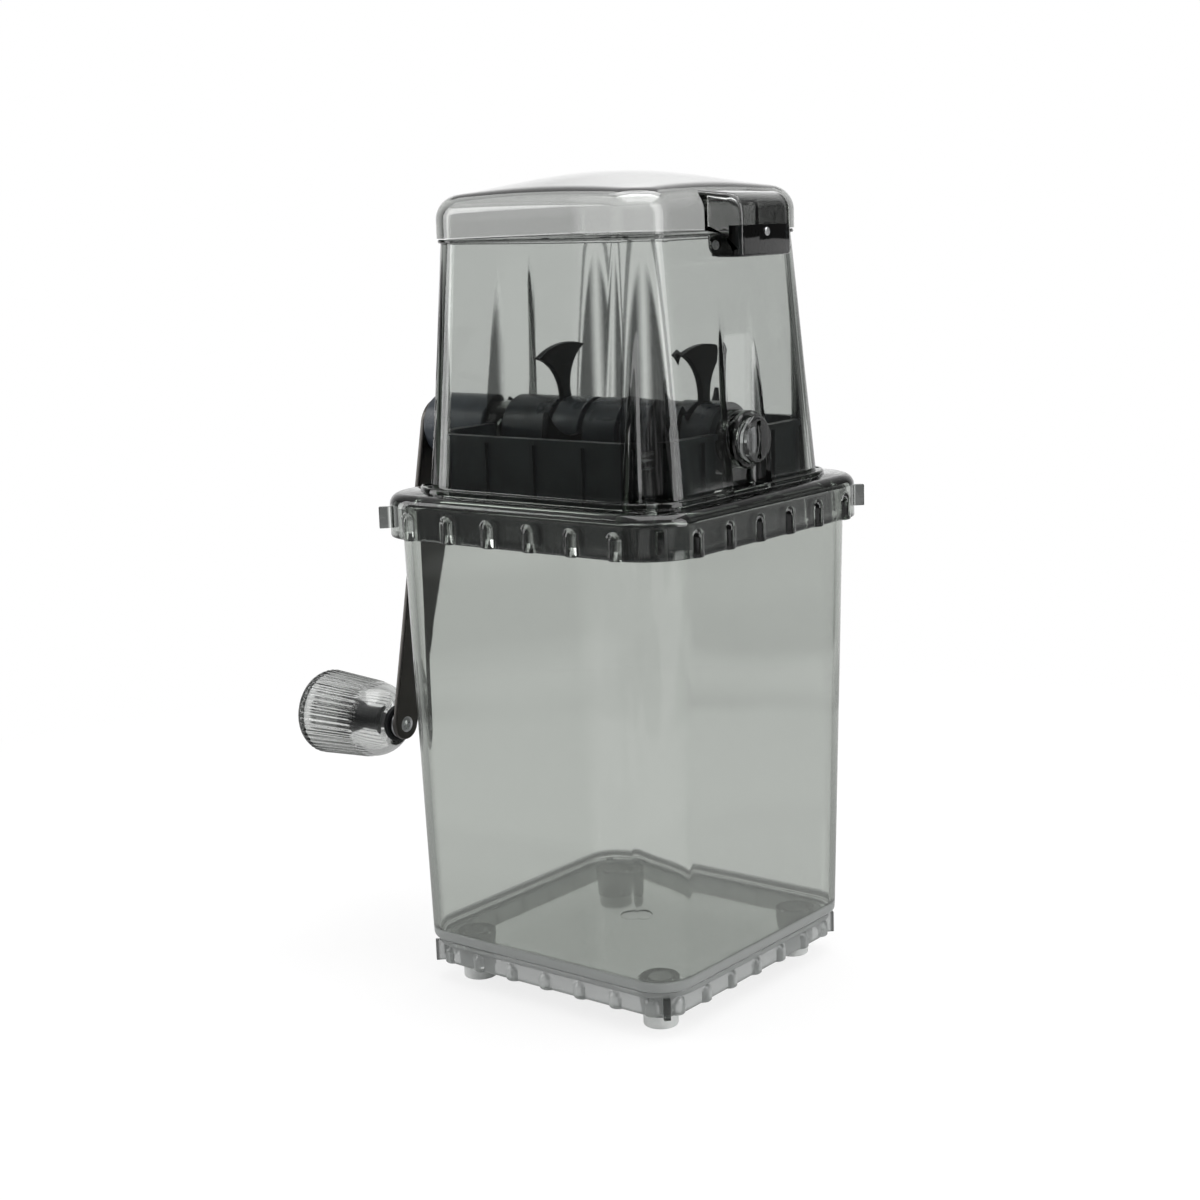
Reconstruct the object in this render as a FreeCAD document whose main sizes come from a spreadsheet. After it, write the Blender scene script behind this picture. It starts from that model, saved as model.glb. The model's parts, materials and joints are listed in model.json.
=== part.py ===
"""Hand cranked ice crusher: a square clear jar, a lift-off head with a hopper,
a hinged lid, a row of fishtail blades on a cranked shaft, and a turning knob.

Frame: millimetres, +Z up, X along the blade shaft with the crank at -X,
origin on the table at the middle of the four feet.
"""

import FreeCAD, Part
import math
import os
import re

import Sketcher
from FreeCAD import Placement, Rotation, Vector

doc = FreeCAD.newDocument("IceCrusher")
sheet = doc.addObject("Spreadsheet::Sheet", "Sizes")

# ---------------------------------------------------------------- driving sizes
# Each size: name, amount, what it is. The amount is in millimetres, in degrees where the
# name ends in angle, or a count. One that starts with = is worked out from the others.
SIZES = [
    ("plastic_wall", 2.3, "wall of every clear moulding"),
    ("seat_gap", 0.3, "gap between two pieces that lift or turn apart"),
    ("shaft_gap", 0.05, "radial running clearance of a shaft in its hole"),
    ("screw_gap", 0.15, "radial clearance of a screw in its hole"),
    ("overrun", 4.0, "how far a cutter runs past the face it cuts through"),
    # feet and base plate
    ("pad_height", 4.0, "rubber foot pad under its post"),
    ("pad_radius", 5.5, "rubber foot pad"),
    ("pad_stem_radius", 3.8, "stem of the pad inside the hollow post"),
    ("pad_stem_length", 3.0, "how far the stem plugs into the post"),
    ("pad_chamfer", 0.3, "worn lower edge of the pad"),
    ("foot_spacing", 37.45, "foot centre from the middle, along X and along Y"),
    ("post_top_radius", 6.4, "tapered post where it meets the plate"),
    ("post_foot_radius", 5.9, "tapered post at the pad"),
    ("post_web", 0.6, "plate left over the hollow of a post"),
    ("base_top", 15.0, "top of the base plate above the table"),
    ("base_thickness", 1.8, "flange of the base plate"),
    ("base_half", 50.3, "half width of the base flange"),
    ("base_corner", 13.0, "corner radius of the base flange"),
    ("base_skirt_bottom", 8.0, "lower edge of the base skirt"),
    ("base_skirt_inset", 1.9, "skirt behind the flange edge"),
    ("skirt_wall", 2.0, "wall of the base skirt"),
    # round-topped ridges on both skirts
    ("ridge_radius", 2.6, "round ridge on a skirt"),
    ("ridge_proud", 1.4, "how far a ridge stands out of its skirt"),
    ("ridge_crest", 0.6, "flat left above a ridge"),
    ("base_ridge_pitch", 14.0, "distance between the ridges of the base skirt"),
    ("collar_ridge_pitch", 16.3, "distance between the ridges of the collar skirt"),
    ("lug_proud", 3.6, "corner lug beyond the corner"),
    ("lug_thickness", 2.2, "corner lug across its diagonal"),
    ("lug_drop", 1.6, "base lug below the base skirt"),
    ("lug_raise", 2.6, "collar lug above the collar's lower edge"),
    # jar
    ("jar_bottom_half", 51.4, "half width of the jar at its floor"),
    ("jar_top_half", 55.5, "half width of the jar at its rim"),
    ("jar_corner", 12.0, "corner radius of the jar at its floor"),
    ("jar_top", 160.2, "rim of the jar above the table"),
    ("jar_edge_round", 1.6, "rounded edge round the jar's floor"),
    ("gate_radius", 4.6, "round gate mark in the jar's floor"),
    ("gate_depth", 0.5, "how deep the gate mark is sunk"),
    # collar of the upper housing
    ("collar_corner", 17.0, "corner radius of the collar"),
    ("collar_wall", 2.5, "collar skirt round the jar's rim"),
    ("collar_bottom", 149.6, "lower edge of the collar skirt"),
    ("collar_top", 163.5, "top face of the collar plate"),
    ("collar_round", 3.8, "rounded top edge of the collar"),
    ("step_height", 1.8, "step ring between collar and hopper"),
    ("step_round", 0.7, "rounded top edge of the step ring"),
    ("step_width", 1.0, "step ring outside the hopper's foot"),
    ("step_corner", 17.5, "corner radius of the step ring"),
    # hopper
    ("hopper_foot_half", 50.3, "half width of the hopper at the collar"),
    ("hopper_top_half", 42.7, "half width of the hopper at its mouth"),
    ("hopper_top", 242.2, "mouth of the hopper above the table"),
    ("hopper_corner", 12.0, "corner radius of the hopper at its mouth"),
    ("bead_height", 1.2, "bead round the hopper's mouth"),
    ("bead_proud", 1.0, "bead outside the hopper's wall"),
    ("flute_half", 10.0, "half width of the side flutes"),
    ("flute_round", 4.0, "rounded inner corners of the side flutes"),
    ("hinge_flute_top", 215.0, "where the flute on the hinge side runs out"),
    ("crank_flute_top", 234.0, "where the flute on the crank side runs out"),
    ("well_centre", 44.5, "corner screw well from the middle, along X and Y"),
    ("well_radius", 6.3, "corner screw well"),
    ("screw_centre", 43.6, "housing screw from the middle, along X and Y"),
    # shaft and its bearings
    ("hub_radius", 10.9, "round hub between bush and arm"),
    ("hub_over_collar", 4.9, "clear height between the hub and the collar"),
    ("shaft_height", "=collar_top + hub_radius + hub_over_collar", "shaft axis above the table"),
    ("journal_radius", 4.0, "round ends of the shaft"),
    ("square_width", 7.0, "square middle of the shaft across its flats"),
    ("boss_radius", 9.0, "bearing boss on the hopper wall"),
    ("boss_face", 49.4, "outer face of both bosses from the middle"),
    ("boss_inside", 40.9, "inner face of bosses and bearings from the middle"),
    ("bearing_web", 0.6, "closed end of the bearing plug's bore"),
    ("bearing_radius", 6.4, "bearing plug and crank bush in the boss"),
    ("plug_cap_radius", 7.4, "cap of the bearing plug"),
    ("plug_cap_height", 3.2, "cap of the bearing plug"),
    ("plug_cap_edge", 0.8, "bevelled edge of the cap"),
    ("plug_slot", 2.2, "coin slot in the cap"),
    ("plug_slot_end", 1.6, "cap left beyond the ends of the slot"),
    ("bush_flange_radius", 8.6, "flange of the crank bush"),
    ("bush_flange", 1.2, "flange of the crank bush"),
    # cassette in the foot of the hopper
    ("cassette_half", 43.8, "half width of the cassette at its walls"),
    ("cassette_corner", 13.0, "corner radius of the cassette"),
    ("cassette_top", 182.0, "rim of the cassette above the table"),
    ("cassette_bottom", 147.0, "lower edge of the cassette"),
    ("cassette_wall", 2.0, "wall of the cassette"),
    ("rim_height", 1.8, "lip round the cassette's rim"),
    ("rib_proud", 1.2, "ribs and lip outside the cassette's wall"),
    ("rib_width", 1.4, "width of an outer rib"),
    ("rib_pitch", 19.0, "distance between outer ribs"),
    ("cassette_flange_half", 51.6, "flange that hangs under the collar plate"),
    ("cassette_flange", 2.0, "thickness of that flange"),
    ("ledge_width", 4.0, "ledge that carries the steel combs"),
    ("ledge_height", 6.0, "ledge that carries the steel combs"),
    ("comb_height", 176.0, "top face of the steel combs"),
    ("comb_thickness", 2.0, "steel comb plate"),
    ("comb_nose", 12.3, "comb tips from the shaft axis, along Y"),
    ("comb_slot", 6.4, "slot that a blade passes through"),
    ("comb_slot_end", 1.6, "slot beyond the tips of the blades"),
    ("comb_corner", 3.0, "cut-off outer corners of a comb"),
    ("bracket_width", 2.6, "bracket under the combs, between two blades"),
    ("bracket_inset", 2.0, "bracket behind the comb tips and above the cassette's lower edge"),
    ("bracket_nose", 5.0, "height of a bracket at its tip"),
    ("screw_radius", 1.5, "shank of the housing screws"),
    ("screw_head", 2.4, "head of the housing screws"),
    ("screw_length", 7.5, "depth of the screw holes in the cassette"),
    ("screw_end_gap", 1.0, "hole left below the end of a screw"),
    ("screw_cap", 1.5, "height of a housing screw's head"),
    ("screw_boss", 4.2, "boss under a housing screw"),
    ("screw_seat", 2.6, "pocket for a screw's head in the step ring"),
    # blades
    ("blade_pitch", 13.0, "distance between blades along the shaft"),
    ("first_blade", -21.0, "blade next to the crank, along X"),
    ("blade_thickness", 2.2, "stamped steel blade"),
    ("blade_ring", 9.2, "ring of a blade round the shaft"),
    ("blade_root", 7.4, "where the neck starts inside the ring"),
    ("blade_reach", 28.8, "tip of a blade from the shaft axis"),
    ("blade_head_half", 12.0, "half width of the fishtail"),
    ("blade_neck_half", 3.1, "half width of the neck"),
    ("blade_waist", 4.6, "hollow of each side of the fishtail"),
    ("blade_first_angle", 22.7, "turn of the first blade from upright against the crank, degrees"),
    ("blade_twist_angle", 87.9, "turn from each blade to the next, degrees"),
    ("spacer_radius", 11.3, "round spacers between the blades"),
    # crank
    ("crank_swing_angle", 14.4, "how far the hanging crank is turned, degrees"),
    ("arm_face", 77.0, "inner face of the arm from the middle"),
    ("arm_thickness", 2.0, "flat steel arm"),
    ("arm_length", 104.2, "from the shaft axis to the knob axis"),
    ("arm_top_radius", 10.2, "round end at the shaft"),
    ("arm_foot_radius", 5.3, "round end at the knob"),
    ("nut_radius", 6.2, "domed nut on the shaft's end"),
    ("nut_height", 3.6, "domed nut on the shaft's end"),
    ("nut_dome", 1.6, "rounded part of the domed nut"),
    ("nut_flat", 3.7, "radius of the nut's flat end"),
    ("nut_bow", 0.64, "swell of the nut's rounded part"),
    # knob
    ("spindle_radius", 1.9, "steel spindle of the knob"),
    ("rivet_radius", 2.7, "spindle head behind the arm"),
    ("rivet_height", 1.0, "spindle head behind the arm"),
    ("rivet_bow", 0.3, "swell of that head"),
    ("washer_radius", 5.0, "washer between arm and knob"),
    ("washer_thickness", 1.2, "washer between arm and knob"),
    ("core_flange_radius", 6.3, "flange of the dark core, next to the washer"),
    ("core_flange", 1.6, "flange of the dark core"),
    ("core_radius", 5.6, "dark core inside the knob, at both of its bearings"),
    ("core_waist", 3.9, "slim middle of the dark core"),
    ("core_neck", 4.6, "wide part of the core inside the knob's neck"),
    ("core_end", 5.4, "wide part of the core inside the knob's socket"),
    ("core_length", 25.4, "dark core from its flange's face"),
    ("core_seat", 2.9, "wider end of the core's bore, round the spindle's head"),
    ("spindle_head", 3.0, "head that keeps the knob on"),
    ("spindle_head_height", 1.6, "head that keeps the knob on"),
    ("knob_wall", 2.2, "wall of the hollow clear knob"),
    ("knob_ball", 13.0, "radius of the round inner end"),
    ("knob_ball_centre", 12.0, "middle of the round inner end from the core's face"),
    ("knob_grip_end", 34.0, "wide end of the grip from the core's face"),
    ("knob_grip_radius", 14.4, "clear knob at the wide end of the grip, between its ribs"),
    ("knob_length", 38.5, "crown of the knob's outer end from the core's face"),
    ("knob_end_round", 2.8, "rounded edge of the outer end"),
    ("knob_end_rise", 1.7, "swell of the outer end"),
    ("knob_socket_wall", 1.4, "tube inside the knob that holds the core's end"),
    ("knob_socket_lap", 1.6, "how far the core plugs into that tube"),
    ("knob_rib_radius", 0.75, "fine rib"),
    ("knob_rib_proud", 0.4, "how far the fine ribs stand out"),
    ("knob_rib_count", 44, "fine ribs round the knob"),
    # lid
    ("lid_overhang", 1.2, "lid outside the hopper's mouth"),
    ("lid_half", "=hopper_top_half + lid_overhang", "half width of the lid"),
    ("lid_corner", 13.0, "corner radius of the lid"),
    ("lid_edge", 255.0, "edge of the lid's top above the table"),
    ("lid_rise", 7.0, "crown of the lid above that edge"),
    ("lid_round", 7.0, "rounded edge round the lid's top"),
    ("bulge_half", 14.1, "half width of the hinge bulge"),
    ("bulge_top", 253.4, "top of the hinge bulge at its outer side"),
    ("bulge_round", 6.0, "rounded outer top edge of the bulge"),
    ("bulge_slope", 1.2, "rise of the bulge's top towards the lid"),
    ("bulge_wall", 1.8, "wall of the hinge bulge"),
    ("pin_reach", 4.9, "hinge pin outside the hopper's mouth, along X"),
    ("pin_centre", "=hopper_top_half + pin_reach", "hinge pin from the middle, along X"),
    ("bulge_reach", 9.0, "outer face of the hinge bulge beyond the pin"),
    ("bulge_face", "=pin_centre + bulge_reach", "outer face of the hinge bulge"),
    ("pin_height", 238.5, "hinge pin above the table"),
    ("pin_radius", 1.4, "hinge pin"),
    ("knuckle_radius", 3.4, "knuckle of the hinge bracket"),
    ("cheek_radius", 3.6, "round corner of the bulge below the pin"),
    ("block_top", 244.1, "top of the hinge block behind the bulge's face"),
    ("liner_top", 240.5, "top of the hinge block's side plates"),
    ("liner_wall", 1.8, "side plates of the hinge block"),
    ("pin_end_gap", 0.1, "hinge pin behind the outside of the cheeks"),
    ("block_depth", 3.0, "hinge block behind the bulge's face"),
    ("block_screw_height", 242.0, "screw in the hinge block above the table"),
    ("block_screw_radius", 0.7, "screw in the hinge block"),
    ("block_screw_head", 1.3, "head of that screw"),
    ("block_screw_cap", 0.4, "height of that screw's head"),
    ("block_screw_edge", 0.2, "bevelled edge of that head"),
]
SIZE_NAMES = {name for name, amount, meaning in SIZES}

for row, (name, amount, meaning) in enumerate(SIZES, start=1):
    sheet.set(f"A{row}", name)
    sheet.set(f"B{row}", str(amount))
    sheet.setAlias(f"B{row}", name)
    sheet.set(f"C{row}", meaning)
doc.recompute()


# ---------------------------------------------------------------- small helpers
def size(rule):
    """The value of a rule such as 'jar_top - plastic_wall', read from the sheet."""
    return float(sheet.evalExpression(str(rule)))


def spelled(rule):
    """The rule with every size written as a cell of the sheet, for setExpression."""
    def cell(word):
        return "Sizes." + word[0] if word[0] in SIZE_NAMES else word[0]
    return re.sub(r"[a-z][a-z_]*", cell, str(rule))


def bind(thing, field, rule):
    """Tie one property of a document object to a rule."""
    thing.setExpression(field, spelled(rule))


def new_body(label):
    """A PartDesign body that becomes one sub-part, named by its label."""
    body = doc.addObject("PartDesign::Body", label)
    body.Label = label
    return body


def new_sketch(body, name, plane, out="0", up="0"):
    """A sketch on an origin plane of its own body, moved out along the plane's normal
    and up along the sketch's own second axis."""
    support = [feature for feature in body.Origin.OriginFeatures if feature.Role == plane][0]
    sketch = body.newObject("Sketcher::SketchObject", name)
    sketch.AttachmentSupport = [(support, "")]
    sketch.MapMode = "FlatFace"
    sketch.AttachmentOffset = Placement(Vector(0, size(up), size(out)), Rotation())
    bind(sketch, "AttachmentOffset.Base.y", up)
    bind(sketch, "AttachmentOffset.Base.z", out)
    return sketch


def hold(sketch, kind, where, rule):
    """Add a dimension to a sketch and tie it to a rule."""
    index = sketch.addConstraint(Sketcher.Constraint(kind, *where, size(rule)))
    bind(sketch, f"Constraints[{index}]", rule)


def hold_point(sketch, edge, end, across, up):
    """Fix one end of an edge at two distances from the sketch's origin."""
    hold(sketch, "DistanceX", (-1, 1, edge, end), across)
    hold(sketch, "DistanceY", (-1, 1, edge, end), up)


def draw_circle(sketch, radius, across="0", up="0"):
    """A circle with its centre fixed from the sketch's origin."""
    centre = Vector(size(across), size(up), 0)
    edge = sketch.addGeometry(Part.Circle(centre, Vector(0, 0, 1), size(radius)), False)
    hold(sketch, "Radius", (edge,), radius)
    hold_point(sketch, edge, 3, across, up)


def draw_outline(sketch, corners):
    """A closed outline. Each corner is (across, up), or (across, up, bow) where the edge
    that follows is an arc: it stands out to the right of the way along by its bow, or
    to the left by a bow with a minus sign."""
    points = [Vector(size(corner[0]), size(corner[1]), 0) for corner in corners]
    count = len(corners)
    ends = []
    for index, corner in enumerate(corners):
        here = points[index]
        there = points[(index + 1) % count]
        if len(corner) == 2:
            edge = sketch.addGeometry(Part.LineSegment(here, there), False)
            ends.append((edge, 1, 2))
            continue
        bow = size(corner[2])
        chord = there - here
        radius = (chord.Length ** 2 / 4 + bow ** 2) / (2 * abs(bow))
        left = Vector(-chord.y, chord.x, 0).normalize()
        centre = (here + there) * 0.5 + left * math.copysign(radius - abs(bow), bow)
        first, last = (here, there) if bow > 0 else (there, here)
        circle = Part.Circle(centre, Vector(0, 0, 1), radius)
        begin = math.atan2(first.y - centre.y, first.x - centre.x)
        finish = math.atan2(last.y - centre.y, last.x - centre.x)
        if finish < begin:
            finish += 2 * math.pi
        edge = sketch.addGeometry(Part.ArcOfCircle(circle, begin, finish), False)
        ends.append((edge, 1, 2) if bow > 0 else (edge, 2, 1))
    for index, corner in enumerate(corners):
        edge, start, end = ends[index]
        before = ends[index - 1]
        sketch.addConstraint(Sketcher.Constraint("Coincident", before[0], before[2], edge, start))
        hold_point(sketch, edge, start, corner[0], corner[1])
        if len(corner) == 3:
            after = corners[(index + 1) % count]
            chord = f"(({after[0]} - ({corner[0]}))^2 + ({after[1]} - ({corner[1]}))^2)"
            hold(sketch, "Radius", (edge,), f"({chord} / 4 + ({corner[2]})^2) / (2 * abs({corner[2]}))")


def draw_rounded_square(sketch, half, corner):
    """A square about the origin with four round corners, fully constrained."""
    side = size(half)
    radius = size(corner)
    flat = side - radius
    edges = []
    for quarter in range(4):
        spin = Rotation(Vector(0, 0, 1), 90 * quarter)
        start = spin.multVec(Vector(-flat, -side, 0))
        end = spin.multVec(Vector(flat, -side, 0))
        centre = spin.multVec(Vector(flat, -flat, 0))
        angle = math.radians(90 * quarter - 90)
        circle = Part.Circle(centre, Vector(0, 0, 1), radius)
        edges.append(sketch.addGeometry(Part.LineSegment(start, end), False))
        edges.append(sketch.addGeometry(Part.ArcOfCircle(circle, angle, angle + math.pi / 2), False))
    for index, edge in enumerate(edges):
        sketch.addConstraint(Sketcher.Constraint("Tangent", edge, 2, edges[(index + 1) % 8], 1))
    for quarter in range(4):
        line = edges[2 * quarter]
        sketch.addConstraint(Sketcher.Constraint("Vertical" if quarter % 2 else "Horizontal", line))
        kind = "DistanceX" if quarter % 2 else "DistanceY"
        hold(sketch, kind, (-1, 1, line, 1), half if quarter in (1, 2) else f"-({half})")
    for quarter in range(1, 4):
        sketch.addConstraint(Sketcher.Constraint("Equal", edges[1], edges[2 * quarter + 1]))
    hold(sketch, "Radius", (edges[1],), corner)


def pad(body, sketch, length, middle=False, taper=None):
    """Raise a sketch along its plane's normal, or to both sides of it. A taper widens
    the far end by that much all round."""
    feature = body.newObject("PartDesign::Pad", sketch.Name + "Pad")
    feature.Profile = sketch
    bind(feature, "Length", length)
    if middle:
        feature.SideType = "Symmetric"
    if taper:
        bind(feature, "TaperAngle", f"atan(({taper}) / ({length}))")
    return feature


def pocket(body, sketch, length, up=False, taper=None):
    """Cut a sketch out against its plane's normal, or along it with up."""
    feature = body.newObject("PartDesign::Pocket", sketch.Name + "Pocket")
    feature.Profile = sketch
    feature.Reversed = up
    bind(feature, "Length", length)
    if taper:
        bind(feature, "TaperAngle", f"atan(({taper}) / ({length}))")
    return feature


def cut_both_ways(body, sketch, length):
    """Cut a sketch out to both sides of its plane."""
    feature = body.newObject("PartDesign::Pocket", sketch.Name + "Pocket")
    feature.Profile = sketch
    feature.SideType = "Symmetric"
    bind(feature, "Length", length)
    return feature


def turned(body, sketch, axis="H_Axis", cut=False):
    """Turn a half outline about an axis of its own sketch, or cut that form out."""
    feature = body.newObject("PartDesign::Groove" if cut else "PartDesign::Revolution", sketch.Name + "Turn")
    feature.Profile = sketch
    feature.ReferenceAxis = (sketch, [axis])
    feature.Angle = 360
    return feature


def round_edges(body, feature, radius, chosen):
    """Fillet the edges of a feature whose middle points pass a test."""
    doc.recompute()
    names = []
    for index, edge in enumerate(feature.Shape.Edges, start=1):
        middle = edge.valueAt((edge.FirstParameter + edge.LastParameter) / 2)
        if chosen(middle):
            names.append(f"Edge{index}")
    fillet = body.newObject("PartDesign::Fillet", feature.Name + "Round")
    fillet.Base = (feature, names)
    bind(fillet, "Radius", radius)
    return fillet


def repeat_round(body, features, axis, count):
    """Copy features evenly round an axis, given as (sketch, its axis)."""
    pattern = body.newObject("PartDesign::PolarPattern", features[0].Name + "Round")
    pattern.Originals = features
    pattern.Axis = (axis[0], [axis[1]])
    pattern.Angle = 360
    bind(pattern, "Occurrences", count)
    body.Tip = pattern
    return pattern


def repeat_along(body, features, axis, length, count):
    """Copy features evenly along an axis of a sketch."""
    pattern = body.newObject("PartDesign::LinearPattern", features[0].Name + "Along")
    pattern.Originals = features
    pattern.Direction = (axis[0], [axis[1]])
    bind(pattern, "Length", length)
    bind(pattern, "Occurrences", count)
    body.Tip = pattern
    return pattern


def boolean(kind, label, base, tool):
    """A Part boolean of two document objects."""
    result = doc.addObject("Part::" + kind, label)
    result.Base = base
    result.Tool = tool
    result.Label = label
    return result


def on_shaft(body):
    """Lift a body that is modelled about the shaft's axis to the shaft's height."""
    bind(body, "Placement.Base.z", "shaft_height")
    return body


def on_crank(body):
    """Place a body that is modelled about the shaft's axis with the crank straight down:
    at the shaft's height, swung with the hanging crank."""
    swing = Rotation(Vector(1, 0, 0), -size("crank_swing_angle"))
    body.Placement = Placement(Vector(0, 0, size("shaft_height")), swing)
    bind(body, "Placement.Base.z", "shaft_height")
    bind(body, "Placement.Rotation.Angle", "-crank_swing_angle * 1deg")
    return body


SUB_PARTS = []


def keep(thing):
    """List an object as a sub-part of the finished product."""
    SUB_PARTS.append(thing)
    return thing


# ---------------------------------------------------------------- shared forms
BLADE_COUNT = 5
# Ridges of a skirt: pitch, shift from the side's middle as a part of the pitch, and the
# directions of those on a round corner, in degrees from the X axis.
BASE_RIDGES = ("base_ridge_pitch", 0, (-67.5, -22.5))
COLLAR_RIDGES = ("collar_ridge_pitch", 0.5, ())
LID_BOTTOM = "(hopper_top + seat_gap)"
COLLAR_HALF = "(jar_top_half + seat_gap + collar_wall)"
COLLAR_UNDER = "(jar_top + seat_gap)"
COLLAR_LOW = "(collar_top - collar_round - ridge_crest)"


def hopper_half_at(height):
    """Half width of the hopper's outer wall at a height."""
    slope = "(hopper_foot_half - hopper_top_half) / (hopper_top - collar_top)"
    return f"(hopper_top_half + (hopper_top - ({height})) * {slope})"


def blade_place(index):
    """X of a blade's middle along the shaft. Half an index lies between two blades."""
    return f"(first_blade + {index} * blade_pitch)"


def rectangle(left, right, low, high):
    """The four corners of an upright rectangle."""
    return [(left, low), (right, low), (right, high), (left, high)]


def ridge_positions(half, corner, pitch, shift, corner_angles):
    """Places and directions of the ridges on one quarter of a skirt: those along its
    straight side, shifted from the middle by a part of the pitch, then those on its
    round corner, each as (x, y, degrees)."""
    straight = size(half) - size(corner)
    beside = int(straight / size(pitch) + 2 * shift) + 1
    along = [size(pitch) * (index + shift) for index in range(-beside, beside + 1)]
    places = [(place, -size(half), -90.0) for place in along if abs(place) < straight]
    for angle in corner_angles:
        turn = math.radians(angle)
        across = straight + size(corner) * math.cos(turn)
        up = -straight + size(corner) * math.sin(turn)
        places.append((across, up, angle))
    return places


def make_ridge(bottom, top, wall):
    """One ridge about the Z axis, facing +X: an upright bar with a ball end, cut off
    behind so that it stays inside the skirt's wall."""
    radius = size("ridge_radius")
    foot = size(bottom)
    ball = size(top) - radius - size("ridge_crest")
    bar = Part.makeCylinder(radius, ball - foot, Vector(0, 0, foot))
    ridge = bar.fuse(Part.makeSphere(radius, Vector(0, 0, ball))).removeSplitter()
    sunk = radius - size("ridge_proud")
    behind = sunk - size(wall) / 2
    front = Part.makeBox(2 * radius, 2 * radius, ball + radius - foot, Vector(behind, -radius, foot))
    return ridge.common(front)


def ridged_skirt(label, half, corner, wall, bottom, top, lug_bottom, ridges):
    """A skirt ring with round-topped ridges all round it and a lug on each corner."""
    ring = new_body(label + "_ring")
    outside = new_sketch(ring, label + "Outside", "XY_Plane", bottom)
    draw_rounded_square(outside, half, corner)
    pad(ring, outside, f"{top} - {bottom}")
    inside = new_sketch(ring, label + "Inside", "XY_Plane", bottom)
    draw_rounded_square(inside, f"{half} - {wall}", f"{corner} - {wall}")
    pocket(ring, inside, f"{top} - {bottom}", up=True)
    doc.recompute()
    ridge = make_ridge(bottom, top, wall)
    sunk = size("ridge_radius") - size("ridge_proud")
    corner_reach = (size(half) - size(corner)) * math.sqrt(2) + size(corner)
    root = size(wall) / 2
    lug = Part.makeBox(size("lug_proud") + root, size("lug_thickness"), size(top) - size(lug_bottom))
    lug.translate(Vector(corner_reach - root, -size("lug_thickness") / 2, size(lug_bottom)))
    lug.rotate(Vector(), Vector(0, 0, 1), -45)
    quarter = [lug]
    for across, up, angle in ridge_positions(half, corner, *ridges):
        turn = math.radians(angle)
        copy = ridge.copy()
        copy.rotate(Vector(), Vector(0, 0, 1), angle)
        copy.translate(Vector(across - sunk * math.cos(turn), up - sunk * math.sin(turn), 0))
        quarter.append(copy)
    copies = []
    for index in range(4):
        for form in quarter:
            copy = form.copy()
            copy.rotate(Vector(), Vector(0, 0, 1), 90 * index)
            copies.append(copy)
    skirt = doc.addObject("Part::Feature", label)
    skirt.Shape = ring.Shape.multiFuse(copies).removeSplitter()
    return skirt


# ---------------------------------------------------------------- the jar
def make_base_plate():
    """Flange with a scalloped skirt below it and four hollow tapered posts."""
    body = new_body("base_flange")
    under = "base_top - base_thickness"
    flange = new_sketch(body, "BaseFlange", "XY_Plane", under)
    draw_rounded_square(flange, "base_half", "base_corner")
    pad(body, flange, "base_thickness")
    foot = new_sketch(body, "PostFoot", "XY_Plane", "pad_height")
    draw_circle(foot, "post_foot_radius", "foot_spacing", "foot_spacing")
    post = pad(body, foot, f"{under} - pad_height", taper="post_top_radius - post_foot_radius")
    repeat_round(body, [post], (flange, "N_Axis"), 4)
    hollow = new_sketch(body, "PostHollow", "XY_Plane", "pad_height")
    draw_circle(hollow, "pad_stem_radius + shaft_gap", "foot_spacing", "foot_spacing")
    bore = pocket(body, hollow, f"{under} - pad_height - post_web", up=True)
    repeat_round(body, [bore], (flange, "N_Axis"), 4)
    skirt = ridged_skirt(
        "base_skirt", "(base_half - base_skirt_inset)", "(base_corner - base_skirt_inset)", "skirt_wall",
        "base_skirt_bottom", "(base_top - base_thickness)", "(base_skirt_bottom - lug_drop)",
        BASE_RIDGES)
    keep(boolean("Fuse", "base_plate", body, skirt))


def make_foot_pads():
    """Four rubber pads whose stems plug into the hollow posts."""
    body = new_body("foot_pads")
    disc = new_sketch(body, "PadDisc", "XY_Plane")
    draw_circle(disc, "pad_radius", "foot_spacing", "foot_spacing")
    lower = pad(body, disc, "pad_height")
    stem = new_sketch(body, "PadStem", "XY_Plane", "pad_height")
    draw_circle(stem, "pad_stem_radius", "foot_spacing", "foot_spacing")
    upper = pad(body, stem, "pad_stem_length")
    middle = new_sketch(body, "PadMiddle", "XY_Plane")
    draw_circle(middle, "pad_radius")
    pads = repeat_round(body, [lower, upper], (middle, "N_Axis"), 4)
    doc.recompute()
    numbered = enumerate(pads.Shape.Edges, start=1)
    edges = [f"Edge{number}" for number, edge in numbered if edge.BoundBox.ZMax < 1e-4]
    chamfer = body.newObject("PartDesign::Chamfer", "PadChamfer")
    chamfer.Base = (pads, edges)
    bind(chamfer, "Size", "pad_chamfer")
    keep(body)


def make_jar():
    """Tapered square jar with round corners and a rounded floor edge."""
    body = new_body("container_tub")
    low = new_sketch(body, "JarLow", "XY_Plane", "base_top")
    draw_rounded_square(low, "jar_bottom_half", "jar_corner")
    outside = pad(body, low, "jar_top - base_top", taper="jar_top_half - jar_bottom_half")
    floor = size("base_top")
    round_edges(body, outside, "jar_edge_round", lambda middle: abs(middle.z - floor) < 1e-4)
    inside = new_sketch(body, "JarInside", "XY_Plane", "base_top + plastic_wall")
    slope = "(jar_top_half - jar_bottom_half) / (jar_top - base_top)"
    draw_rounded_square(
        inside, f"jar_bottom_half - plastic_wall + plastic_wall * {slope}", "jar_corner - plastic_wall")
    depth = "jar_top - base_top - plastic_wall"
    pocket(body, inside, depth, up=True, taper=f"({depth}) * {slope}")
    gate = new_sketch(body, "GateMark", "XY_Plane", "base_top + plastic_wall")
    draw_circle(gate, "gate_radius")
    pocket(body, gate, "gate_depth")
    keep(body)


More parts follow.
